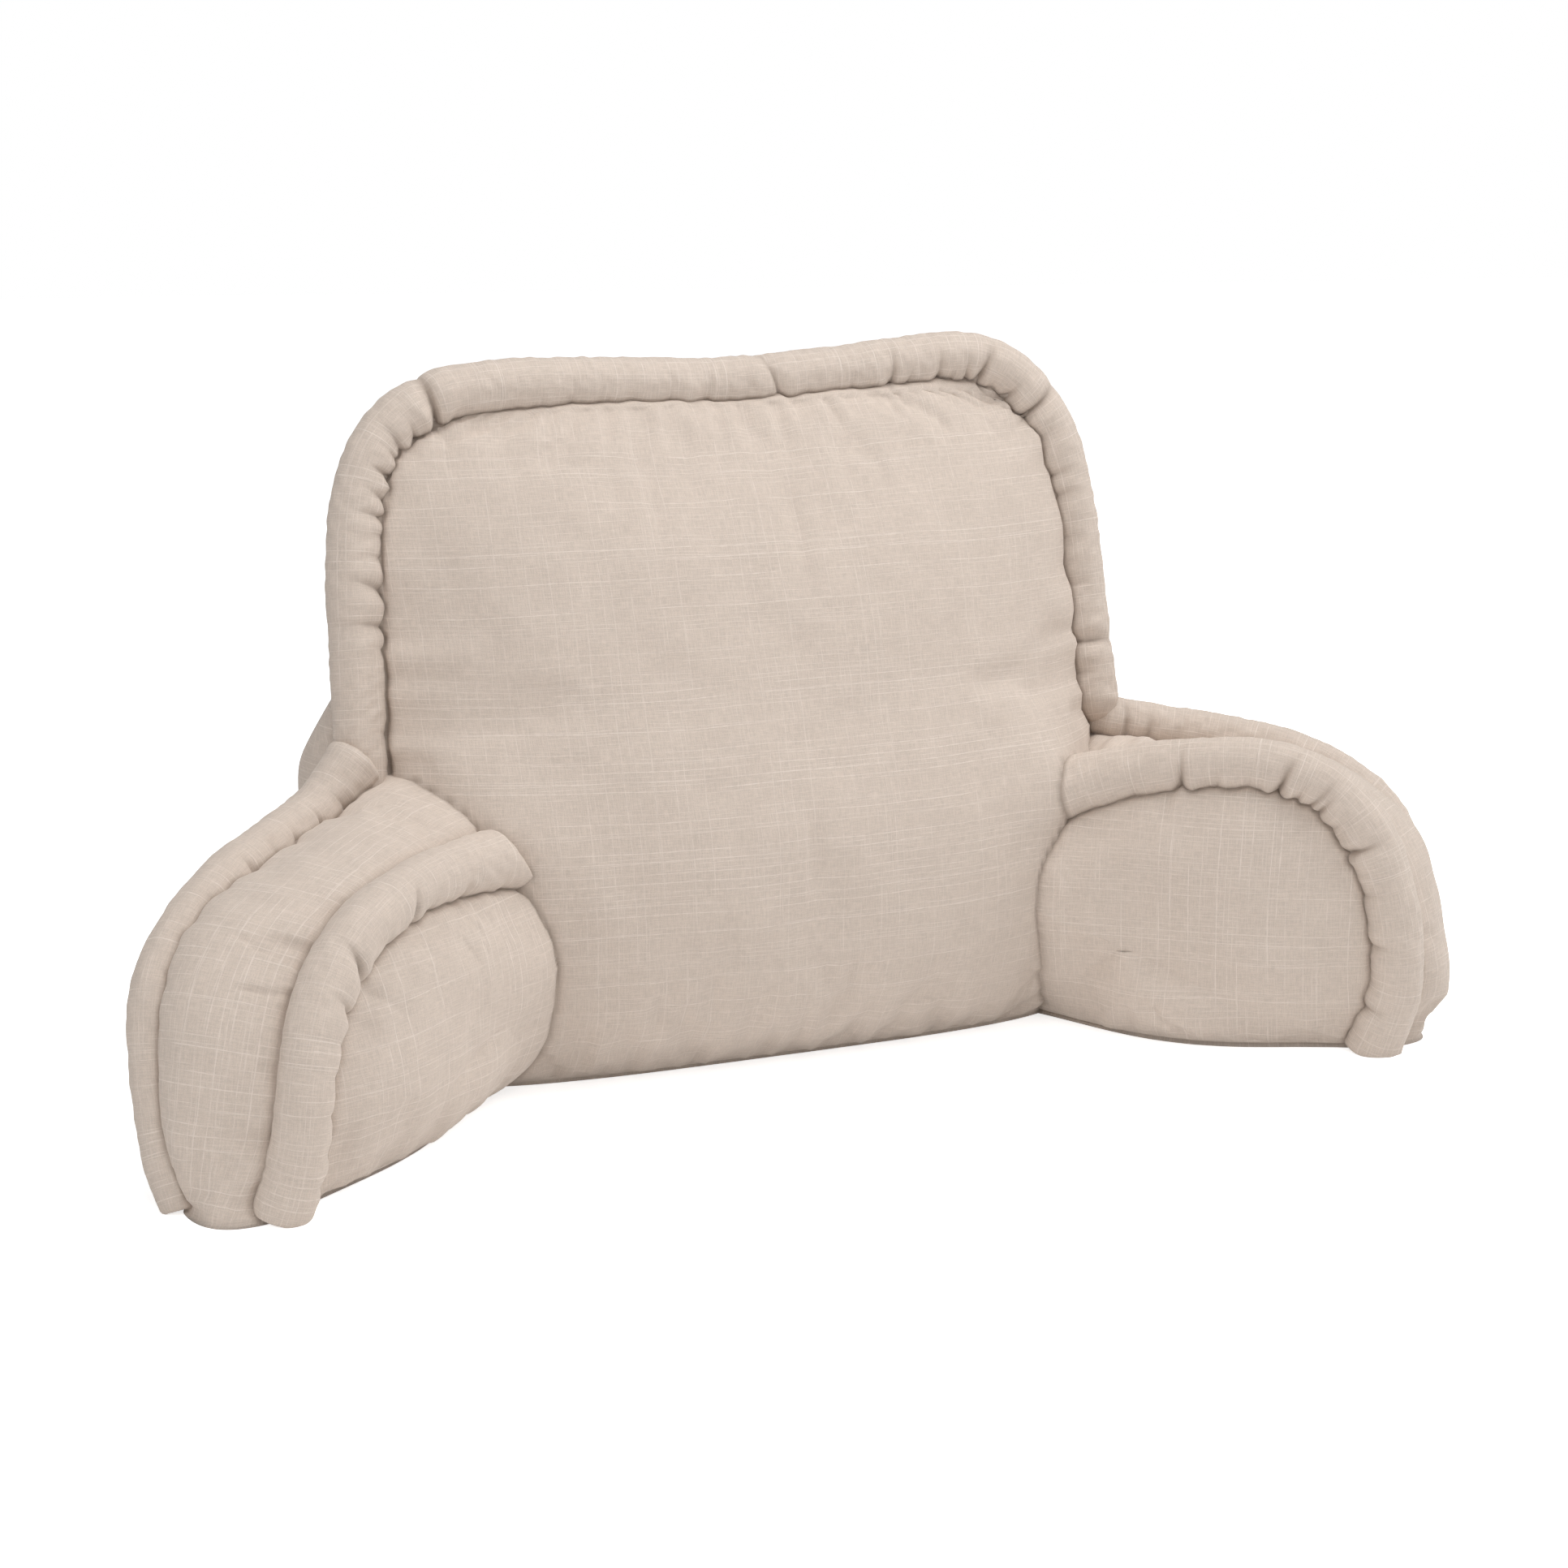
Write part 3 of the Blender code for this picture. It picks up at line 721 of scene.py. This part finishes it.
def arm_place(side, reach, out, height):
    """Points of an arm in the object's frame, from how far along, out and up they are."""
    x = side * (ARM_ROOT_X + math.sin(ARM_SPLAY) * reach + math.cos(ARM_SPLAY) * out)
    y = BASE_FRONT - math.cos(ARM_SPLAY) * reach + math.sin(ARM_SPLAY) * out
    return np.stack(np.broadcast_arrays(x, y, height), axis=-1)


def arm_outline(reach, height, out, floor_out, floor_bulge):
    """An arm's closed side outline: the arch from root to floor, back along the floor, and up inside the back. The
    floor edge bulges inward where it shows in front of the back. Returns the outline and how far out it lies."""
    along = np.linspace(0, 1, FLOOR_POINTS)[1:]
    up = np.linspace(0, 1, ROOT_POINTS)[1:-1]
    reaches = np.concatenate([reach, reach[-1] + (reach[0] - reach[-1]) * along, np.full(len(up), reach[0])])
    heights = np.concatenate([height, 0 * along, height[0] * up])
    bulge = floor_bulge * np.sin(math.pi * np.minimum(1, along / FLOOR_SHOWN)) ** 1.5
    floor = np.interp(along, (0, 0.2, 1), (out[-1], *floor_out)) - bulge
    outs = np.concatenate([out, floor, floor_out[1] + (out[0] - floor_out[1]) * up])
    return np.column_stack([reaches, heights]), outs


def arm_cover(word, side, stations, seed):
    """An arm's cushion, as rings from the middle of its inner panel, over the gusset, to the middle of its outer
    panel. Returns the piece and, point by point, how strongly its seams draw it in and how dark their painted
    shade on it is."""
    rows = smooth_rows(stations, ARCH_POINTS)
    inner, inner_out = arm_outline(rows[:, 0], rows[:, 1], rows[:, 2], INNER_FLOOR_OUT[word], FLOOR_BULGE[word])
    outer, outer_out = arm_outline(rows[:, 3], rows[:, 4], rows[:, 5], OUTER_FLOOR_OUT, 0.0)
    run = np.concatenate([[0], np.cumsum(np.linalg.norm(np.diff(inner, axis=0), axis=1))])
    for outline, middle, at in ((inner, INNER_MIDDLE, "inner"), (outer, OUTER_MIDDLE, "outer")):
        away = outline - middle
        sunk = np.interp(run, *np.array(SEAM_UNDER[at]).T) * np.clip(outline[:, 1] / SEAM_RISE, 0, 1)
        outline -= away * (sunk / np.linalg.norm(away, axis=1))[:, None]
    shares = np.sin(np.linspace(FIRST_RING, 1, PANEL_RINGS) * math.pi / 2)
    rings, uvs, kinds, places = [], [], [], []
    for share in shares:
        place = INNER_MIDDLE + share * (inner - INNER_MIDDLE)
        puff = INNER_FULLNESS * (1 - share ** PANEL_FULLNESS)
        for at, up, fuller, radius in INNER_SWELLS[word]:
            apart = (place[:, 0] - at) ** 2 + (place[:, 1] - up) ** 2
            puff = puff + fuller * np.exp(-apart / radius ** 2) * (share < 1)
        rings.append(arm_place(side, place[:, 0], share * inner_out - puff, place[:, 1]))
        uvs.append(place)
        places.append(place)
        kinds.append("inner")
    wide = np.linalg.norm(np.column_stack([outer - inner, outer_out - inner_out]), axis=1)
    crown, lean = (np.interp(run, *np.array(GUSSET_CROWN[word])[:, [0, k]].T) for k in (1, 2))
    for share in np.linspace(0, 1, GUSSET_ROWS)[1:]:
        place = inner + share * (outer - inner)
        arch = np.maximum(0, np.sin(math.pi * share ** lean)) ** GUSSET_ROUNDNESS
        place = place * (1 + crown / ARM_SIZE * arch)[:, None]
        out = inner_out + share * (outer_out - inner_out)
        rings.append(arm_place(side, place[:, 0], out, place[:, 1]))
        uvs.append(np.column_stack([run, share * wide]))
        places.append(place)
        kinds.append("gusset")
    for share in shares[::-1][1:]:
        place = OUTER_MIDDLE + share * (outer - OUTER_MIDDLE)
        puff = OUTER_FULLNESS * (1 - share ** PANEL_FULLNESS)
        out = OUTER_PANEL_OUT + share * (outer_out - OUTER_PANEL_OUT) + puff
        rings.append(arm_place(side, place[:, 0], out, place[:, 1]))
        uvs.append(place)
        places.append(place)
        kinds.append("outer")
    grid = np.stack(rings)
    seam_rows = np.isin(np.arange(len(grid)), (PANEL_RINGS - 1, PANEL_RINGS + GUSSET_ROWS - 2))[:, None]
    at_root = np.arange(grid.shape[1]) >= ARCH_POINTS + FLOOR_POINTS - 2
    middle_to_edge = np.concatenate([shares, np.ones(GUSSET_ROWS - 1), shares[::-1][1:]])[:, None]
    from_root = np.clip((np.stack([place[:, 0] for place in places]) + ROOT_STIFF) / ROOT_FADE, 0, 1)
    slack = ARM_SLACK * np.clip((middle_to_edge - MIDDLE_TAUT) / MIDDLE_FADE, 0, 1) * from_root
    grid = plump(grid, seam_rows | (grid[..., 2] < ON_FLOOR) | at_root, slack)
    normals = grid_normals(grid, grid.mean(axis=(0, 1)))
    rise = sum(tall * waves(grid, size, seed + step) for step, (tall, size) in enumerate(ARM_WAVES))
    ring_share = np.clip((np.arange(len(grid)) - PANEL_RINGS + 1) / (GUSSET_ROWS - 1), -1, 2)[:, None]
    along = np.where(np.arange(grid.shape[1]) < ARCH_POINTS, run, 9.0)[None, :]
    for at, across, deep, width in GUSSET_DENTS[word]:
        beside = ((ring_share - across) * GUSSET_WIDTH / (DENT_LENGTH * width)) ** 2
        dent = np.exp(-(((along - at) / width) ** 2 + beside))
        ridge = np.exp(-(((np.abs(along - at) - DENT_RIDGE_PLACE * width) / width) ** 2 + beside))
        rise += deep * (DENT_RIDGE * ridge - dent)
    rise *= np.clip(grid[..., 2] / FLAT_BELOW, 0.1, 1)
    rise -= HEM_TUCK * np.clip(1 - grid[..., 2] / HEM_HEIGHT, 0, 1) ** 2 * (grid[..., 2] > 1e-6)
    grid = grid + normals * rise[..., None]
    grid[..., 2] = np.maximum(grid[..., 2], 0)
    count = grid.shape[1]
    faces = grid_faces(len(grid), count)
    strips = []
    for row in range(len(grid) - 1):
        low, high = uvs[row], uvs[row + 1]
        if (kinds[row], kinds[row + 1]) == ("inner", "gusset"):
            low = np.column_stack([run, 0 * run])
        if (kinds[row], kinds[row + 1]) == ("gusset", "outer"):
            low = outer
        low, high = (np.vstack([uv, uv[:1]]) for uv in (low, high))
        strips.append(np.stack([low[:-1], low[1:], high[1:], high[:-1]], axis=1))
    points = grid.reshape(-1, 3)
    caps = [tuple(range(count)), tuple(range((len(grid) - 1) * count, len(grid) * count))]
    cap_uvs = [uvs[0], uvs[-1]]
    at_inner, at_outer = (np.interp(run, *np.array(GUSSET_SEAMS[word])[:, [0, k]].T) for k in (1, 2))
    seam_share = np.where((ring_share > 0) & (ring_share < 0.5), at_inner, 1.0)
    seam_share = np.where((ring_share >= 0.5) & (ring_share < 1), at_outer, seam_share)
    cushion = cloth_piece(
        word + "_arm_cushion", points, faces + caps, strips + cap_uvs, np.zeros(len(points)),
        linen(word + "_arm_linen", 0.66, 0.76, seed), word + "_arm",
    )
    return cushion, seam_share.ravel()


left_arm, left_seams = arm_cover("left", -1, LEFT_ARM, 40)
right_arm, right_seams = arm_cover("right", 1, RIGHT_ARM, 50)


# The arms' pipings.
# Four lengths of the same stuffed piping: an inner and an outer one over each arm, from the back to the floor. The
# inner ones are cut flat in the seam with the back; the outer ones start from a pinched tuck at the back's piping.

OUTER_PIPING_RADIUS = 0.015
OUTER_PIPING_STARTS = {
    # reach, out, height
    "left": (0.034, 0.075, 0.208), "right": (0.010, 0.068, 0.196),
}
INNER_START_ROW = 1
OUTER_START_ROW = 3
FLOOR_ENDS = {
    # share, run, roundness
    "left_inner": (0.90, 0.016, 0.5), "left_outer": (0.74, 0.045, 1.0),
    "right_inner": (1.20, 0.050, 1.0), "right_outer": (0.85, 0.020, 0.5),
}
START_ENDS = {"left": (1.20, 0.030, 1.0), "right": (0.40, 0.018, 0.5)}
CUT_END = (1.24, 0.090, 1.0)
INNER_CUTS = {
    # at, slant_from_seam, slant_sideways
    "left": (0.0600, -0.0144, 0.0156), "right": (0.0620, -0.0048, -0.0012),
}
ARM_CREASES = {
    "left_inner": (
        # at, slant, depth, width, reach
        (0.085, 0.011, 0.0010, 0.0040, 0.5),
        (0.128, 0.003, 0.0016, 0.0035, 0.6),
        (0.167, -0.007, 0.0010, 0.0040, 0.5),
        (0.189, -0.012, 0.0036, 0.0024, 0.8),
        (0.217, -0.006, 0.0012, 0.0040, 0.5),
        (0.254, -0.013, 0.0046, 0.0024, 1.0),
        (0.277, -0.008, 0.0036, 0.0024, 0.8),
        (0.295, -0.002, 0.0014, 0.0035, 0.6),
        (0.313, -0.002, 0.0014, 0.0040, 0.6),
        (0.334, -0.002, 0.0018, 0.0030, 0.6),
        (0.355, 0.002, 0.0014, 0.0040, 0.6),
        (0.370, -0.001, 0.0022, 0.0030, 0.6),
    ),
    "left_outer": (
        # at, slant, depth, width, reach
        (0.031, 0.007, 0.0020, 0.0030, 0.5),
        (0.055, 0.004, 0.0026, 0.0026, 0.5),
        (0.082, 0.001, 0.0024, 0.0028, 0.5),
        (0.102, 0.002, 0.0020, 0.0030, 0.6),
        (0.126, 0.004, 0.0026, 0.0026, 0.6),
        (0.164, -0.002, 0.0026, 0.0026, 0.6),
        (0.193, -0.007, 0.0026, 0.0026, 0.7),
        (0.218, -0.007, 0.0020, 0.0035, 0.7),
        (0.249, -0.007, 0.0016, 0.0040, 0.7),
        (0.276, -0.005, 0.0014, 0.0040, 0.7),
        (0.306, -0.003, 0.0014, 0.0040, 0.7),
    ),
    "right_inner": (
        # at, slant, depth, width, reach
        (0.085, 0.004, 0.0010, 0.0040, 0.5),
        (0.114, 0.003, 0.0012, 0.0040, 0.6),
        (0.146, 0.006, 0.0042, 0.0024, 0.8),
        (0.170, 0.002, 0.0012, 0.0035, 0.6),
        (0.191, 0.001, 0.0010, 0.0040, 0.5),
        (0.212, 0.008, 0.0046, 0.0024, 0.9),
        (0.228, 0.003, 0.0018, 0.0030, 0.6),
        (0.239, 0.008, 0.0030, 0.0028, 0.9),
        (0.248, 0.002, 0.0034, 0.0026, 0.6),
        (0.264, 0.004, 0.0012, 0.0035, 0.5),
        (0.286, 0.003, 0.0042, 0.0024, 0.8),
        (0.318, 0.002, 0.0014, 0.0040, 0.6),
        (0.353, -0.001, 0.0022, 0.0030, 0.6),
        (0.401, -0.007, 0.0022, 0.0030, 0.6),
    ),
    "right_outer": (
        # at, slant, depth, width, reach
        (0.027, -0.004, 0.0030, 0.0035, 0.9),
        (0.043, -0.001, 0.0018, 0.0040, 0.8),
        (0.067, 0.001, 0.0010, 0.0040, 0.7),
        (0.123, 0.002, 0.0010, 0.0045, 0.7),
        (0.168, 0.001, 0.0012, 0.0045, 0.7),
        (0.235, -0.004, 0.0012, 0.0045, 0.7),
        (0.284, -0.002, 0.0014, 0.0045, 0.7),
    ),
}

arm_pipings = {}
for side, word, stations in ((-1, "left", LEFT_ARM), (1, "right", RIGHT_ARM)):
    inner_heart = arm_place(side, 0.060, -0.035, 0.065)
    outer_heart = arm_place(side, 0.060, -0.050, 0.100)
    inner_line = [arm_place(side, row[0], row[2], row[1]) for row in stations[INNER_START_ROW:]]
    outer_line = [arm_place(side, *OUTER_PIPING_STARTS[word])]
    outer_line += [arm_place(side, row[3], row[5], row[4]) for row in stations[OUTER_START_ROW:]]
    inner_word, outer_word = word + "_inner", word + "_outer"
    arm_pipings[inner_word] = stuffed_tube(
        inner_word + "_piping_cord", inner_line, PIPING_RADIUS, inner_heart, ARM_CREASES[inner_word],
        60 + side, inner_word + "_piping", ends=(CUT_END, FLOOR_ENDS[inner_word]), cut=INNER_CUTS[word],
        face=-side,
    )
    arm_pipings[outer_word] = stuffed_tube(
        outer_word + "_piping_cord", outer_line, OUTER_PIPING_RADIUS, outer_heart, ARM_CREASES[outer_word],
        70 + side, outer_word + "_piping", ends=(START_ENDS[word], FLOOR_ENDS[outer_word]), face=-side,
    )


# The seams.
# Where pieces are sewn together the cloth is gathered: small folds run into the panels from each crease of the
# piping, and both cloths dip into the seam, with painted shade darkening them along it.

SEAM_REACH = 0.0055
SEAM_DEPTH = 0.0030
# SEAM_SHADE and PIPING_SHADES are how dark the painted shade along the seams is, on the panels and on each piping.
SEAM_SHADE = 0.68
PIPING_SHADES = {"left_inner": 0.60, "left_outer": 0.60, "right_inner": 0.50, "right_outer": 0.25}
PANEL_FOLD_LENGTH = 11.0
PANEL_FOLD_DEPTH = 0.62
PANEL_FOLD_WIDTHS = (0.0022, 0.0036)
PANEL_FOLD_SWING = 0.30
PANEL_FOLD_RIDGE = (0.40, 2.4, 1.4)  # height, place, width
PANEL_DEPTH = 0.020
ARM_FOLD_SHARE = 0.7


def vertex_arrays(piece):
    """A piece's points and outward normals as arrays."""
    count = len(piece.data.vertices)
    points, normals = np.empty(count * 3), np.empty(count * 3)
    piece.data.vertices.foreach_get("co", points)
    piece.data.vertex_normals.foreach_get("vector", normals)
    return points.reshape(-1, 3), normals.reshape(-1, 3)


def gather(piece, pulls, share, seed):
    """Folds in the panel that start at each of the piping's creases and fade inward; share scales them."""
    rng = np.random.default_rng(seed)
    points, normals = vertex_arrays(piece)
    rise = np.zeros(len(points))
    for start, inward, deep in pulls:
        swing = rng.normal(0, PANEL_FOLD_SWING)
        run = PANEL_FOLD_LENGTH * deep * rng.uniform(0.7, 1.3)
        width = rng.uniform(*PANEL_FOLD_WIDTHS)
        near = np.linalg.norm(points - start, axis=1) < run * 1.3 + 0.012
        offset, normal = points[near] - start, normals[near]
        flat = inward - (normal @ inward)[:, None] * normal
        flat /= np.maximum(np.linalg.norm(flat, axis=1, keepdims=True), 1e-9)
        beside = np.cross(flat, normal)
        along = (offset * flat).sum(1) / run
        across = (offset * beside).sum(1) - swing * run * np.clip(along, 0, 2)
        spread = width * (1 + 1.6 * np.clip(along, 0, 1))
        fade = np.clip(1.15 - along, 0, 1) ** 1.6 * (np.abs((offset * normal).sum(1)) < PANEL_DEPTH)
        raised, ridge_place, ridge_width = PANEL_FOLD_RIDGE
        ridge = np.exp(-(((np.abs(across) - ridge_place * spread) / (ridge_width * spread)) ** 2))
        fold = raised * ridge - np.exp(-np.abs(across) / spread)
        rise[near] += PANEL_FOLD_DEPTH * deep * fade * fold
    rise *= share * np.clip(points[:, 2] / 0.010, 0, 1)
    piece.data.vertices.foreach_set("co", (points + normals * rise[:, None]).ravel())
    piece.data.update()


def settle(piece, neighbour, depth, shade, shares=None):
    """Dip a piece's cloth close to a neighbour that it is sewn to, and darken it there with painted shade; shares
    scales both point by point.
    """
    points, normals = vertex_arrays(piece)
    other, _ = vertex_arrays(neighbour)
    low, high = other.min(0) - SEAM_REACH, other.max(0) + SEAM_REACH
    close = np.flatnonzero(((points > low) & (points < high)).all(1))
    surface = BVHTree.FromPolygons(other.tolist(), [tuple(face.vertices) for face in neighbour.data.polygons])
    shares = np.ones(len(points)) if shares is None else shares
    painted_shade = np.empty(len(points))
    piece.data.attributes["painted_shade"].data.foreach_get("value", painted_shade)
    for index in close:
        distance = surface.find_nearest(Vector(points[index]), SEAM_REACH)[3]
        if distance is not None:
            nearness = 1 - distance / SEAM_REACH
            dip = shares[index] * depth * nearness ** 2
            points[index] -= normals[index] * dip * min(1, points[index][2] / 0.006)
            # Painted shade along the seam, where the two cloths meet.
            painted_shade[index] = max(painted_shade[index], shares[index] * shade * max(0.0, 2 * nearness - 1))
    piece.data.vertices.foreach_set("co", points.ravel())
    piece.data.attributes["painted_shade"].data.foreach_set("value", painted_shade)
    piece.data.update()


gather(back, back_pulls, 1.0, 81)
settle(back, back_piping, SEAM_DEPTH, SEAM_SHADE)
settle(back_piping, back, 0.0, SEAM_SHADE)
for word, arm, shares in (("left", left_arm, left_seams), ("right", right_arm, right_seams)):
    for place in ("inner", "outer"):
        piping, pulls = arm_pipings[word + "_" + place]
        gather(arm, pulls, ARM_FOLD_SHARE * shares, 90)
        settle(arm, piping, SEAM_DEPTH, SEAM_SHADE, shares)
        settle(piping, arm, 0.0, PIPING_SHADES[word + "_" + place])
    inner_piping = arm_pipings[word + "_inner"][0]
    settle(back, inner_piping, 0.0, SEAM_SHADE)
    settle(inner_piping, back, 0.0, SEAM_SHADE)
    settle(back, arm, 0.5 * SEAM_DEPTH, SEAM_SHADE)
    settle(arm, back, 0.5 * SEAM_DEPTH, SEAM_SHADE)


# The stage.
# A white floor and backdrop under soft boxes all round, the strongest above, as in a catalogue picture. The
# viewpoint is a little above the arms, seen from the left.

FLOOR_GLOW = 0.13
STUDIO_LIGHT = 0.12

bpy.ops.mesh.primitive_plane_add(size=30, location=(0, 0, 0))
floor = bpy.context.object
floor.name = "studio_floor"
paper = bpy.data.materials.new("studio_paper")
paper.use_nodes = True
paper_shader = paper.node_tree.nodes["Principled BSDF"]
paper_shader.inputs["Base Color"].default_value = (0.88, 0.88, 0.88, 1.0)
paper_shader.inputs["Roughness"].default_value = 1.0
paper_shader.inputs["Specular IOR Level"].default_value = 0.0
paper_shader.inputs["Emission Color"].default_value = (1.0, 1.0, 1.0, 1.0)
paper_seen = paper.node_tree.nodes.new("ShaderNodeLightPath")
paper_place = paper.node_tree.nodes.new("ShaderNodeNewGeometry")
paper_reach = paper.node_tree.nodes.new("ShaderNodeVectorMath")
paper_reach.operation = "LENGTH"
paper_far = paper.node_tree.nodes.new("ShaderNodeMapRange")
for word, value in (("From Min", 0.8), ("From Max", 2.6), ("To Min", 0.68), ("To Max", 1.0)):
    paper_far.inputs[word].default_value = value
paper_glow = paper.node_tree.nodes.new("ShaderNodeMapRange")
paper_glow.inputs["To Min"].default_value = FLOOR_GLOW
paper.node_tree.links.new(paper_place.outputs["Position"], paper_reach.inputs[0])
paper.node_tree.links.new(paper_reach.outputs["Value"], paper_far.inputs["Value"])
paper.node_tree.links.new(paper_far.outputs["Result"], paper_glow.inputs["To Max"])
paper.node_tree.links.new(paper_seen.outputs["Is Camera Ray"], paper_glow.inputs["Value"])
paper.node_tree.links.new(paper_glow.outputs["Result"], paper_shader.inputs["Emission Strength"])
floor.data.materials.append(paper)

world = bpy.data.worlds.new("studio")
scene.world = world
world.use_nodes = True
sky_nodes, sky_links = world.node_tree.nodes, world.node_tree.links
seen = sky_nodes.new("ShaderNodeLightPath")
brightness = sky_nodes.new("ShaderNodeMapRange")
brightness.inputs["To Min"].default_value = STUDIO_LIGHT
brightness.inputs["To Max"].default_value = 1.0
sky_links.new(seen.outputs["Is Camera Ray"], brightness.inputs["Value"])
sky_links.new(brightness.outputs["Result"], sky_nodes["Background"].inputs["Strength"])
sky_nodes["Background"].inputs["Color"].default_value = (1.0, 1.0, 1.0, 1.0)

for name, place, size, power in (
    ("softbox_above", (0.2, -0.3, 2.6), 1.6, 30.0),
    ("softbox_above_right", (1.4, -0.9, 2.4), 1.5, 17.0),
    ("softbox_right", (2.5, -0.6, 1.3), 1.5, 20.0),
    ("softbox_front", (-0.2, -2.8, 1.9), 1.5, 21.0),
    ("softbox_left", (-2.4, -1.2, 1.3), 1.6, 21.0),
    ("softbox_behind", (0.6, 2.8, 1.6), 1.6, 6.0),
):
    lamp = bpy.data.lights.new(name, "AREA")
    lamp.shape = "SQUARE"
    lamp.size = size
    lamp.energy = power
    holder = bpy.data.objects.new(name, lamp)
    holder.location = place
    holder.rotation_euler = (Vector(place) - Vector((0, 0, 0.2))).to_track_quat("Z", "Y").to_euler()
    scene.collection.objects.link(holder)

VIEW_TURN = math.radians(-24.43)
VIEW_TILT = math.radians(11.58)
VIEW_DISTANCE = 1.7805
VIEW_CENTRE = Vector((0.001, BASE_FRONT, 0.1772))
lens = bpy.data.cameras.new("viewpoint")
lens.lens = 65.09
lens.sensor_width = 36.0
viewpoint = bpy.data.objects.new("viewpoint", lens)
toward = Vector((math.sin(VIEW_TURN) * math.cos(VIEW_TILT), -math.cos(VIEW_TURN) * math.cos(VIEW_TILT),
                 math.sin(VIEW_TILT)))
viewpoint.location = VIEW_CENTRE + toward * VIEW_DISTANCE
viewpoint.rotation_euler = toward.to_track_quat("Z", "Y").to_euler()
scene.collection.objects.link(viewpoint)
scene.camera = viewpoint
scene.view_settings.view_transform = "Standard"
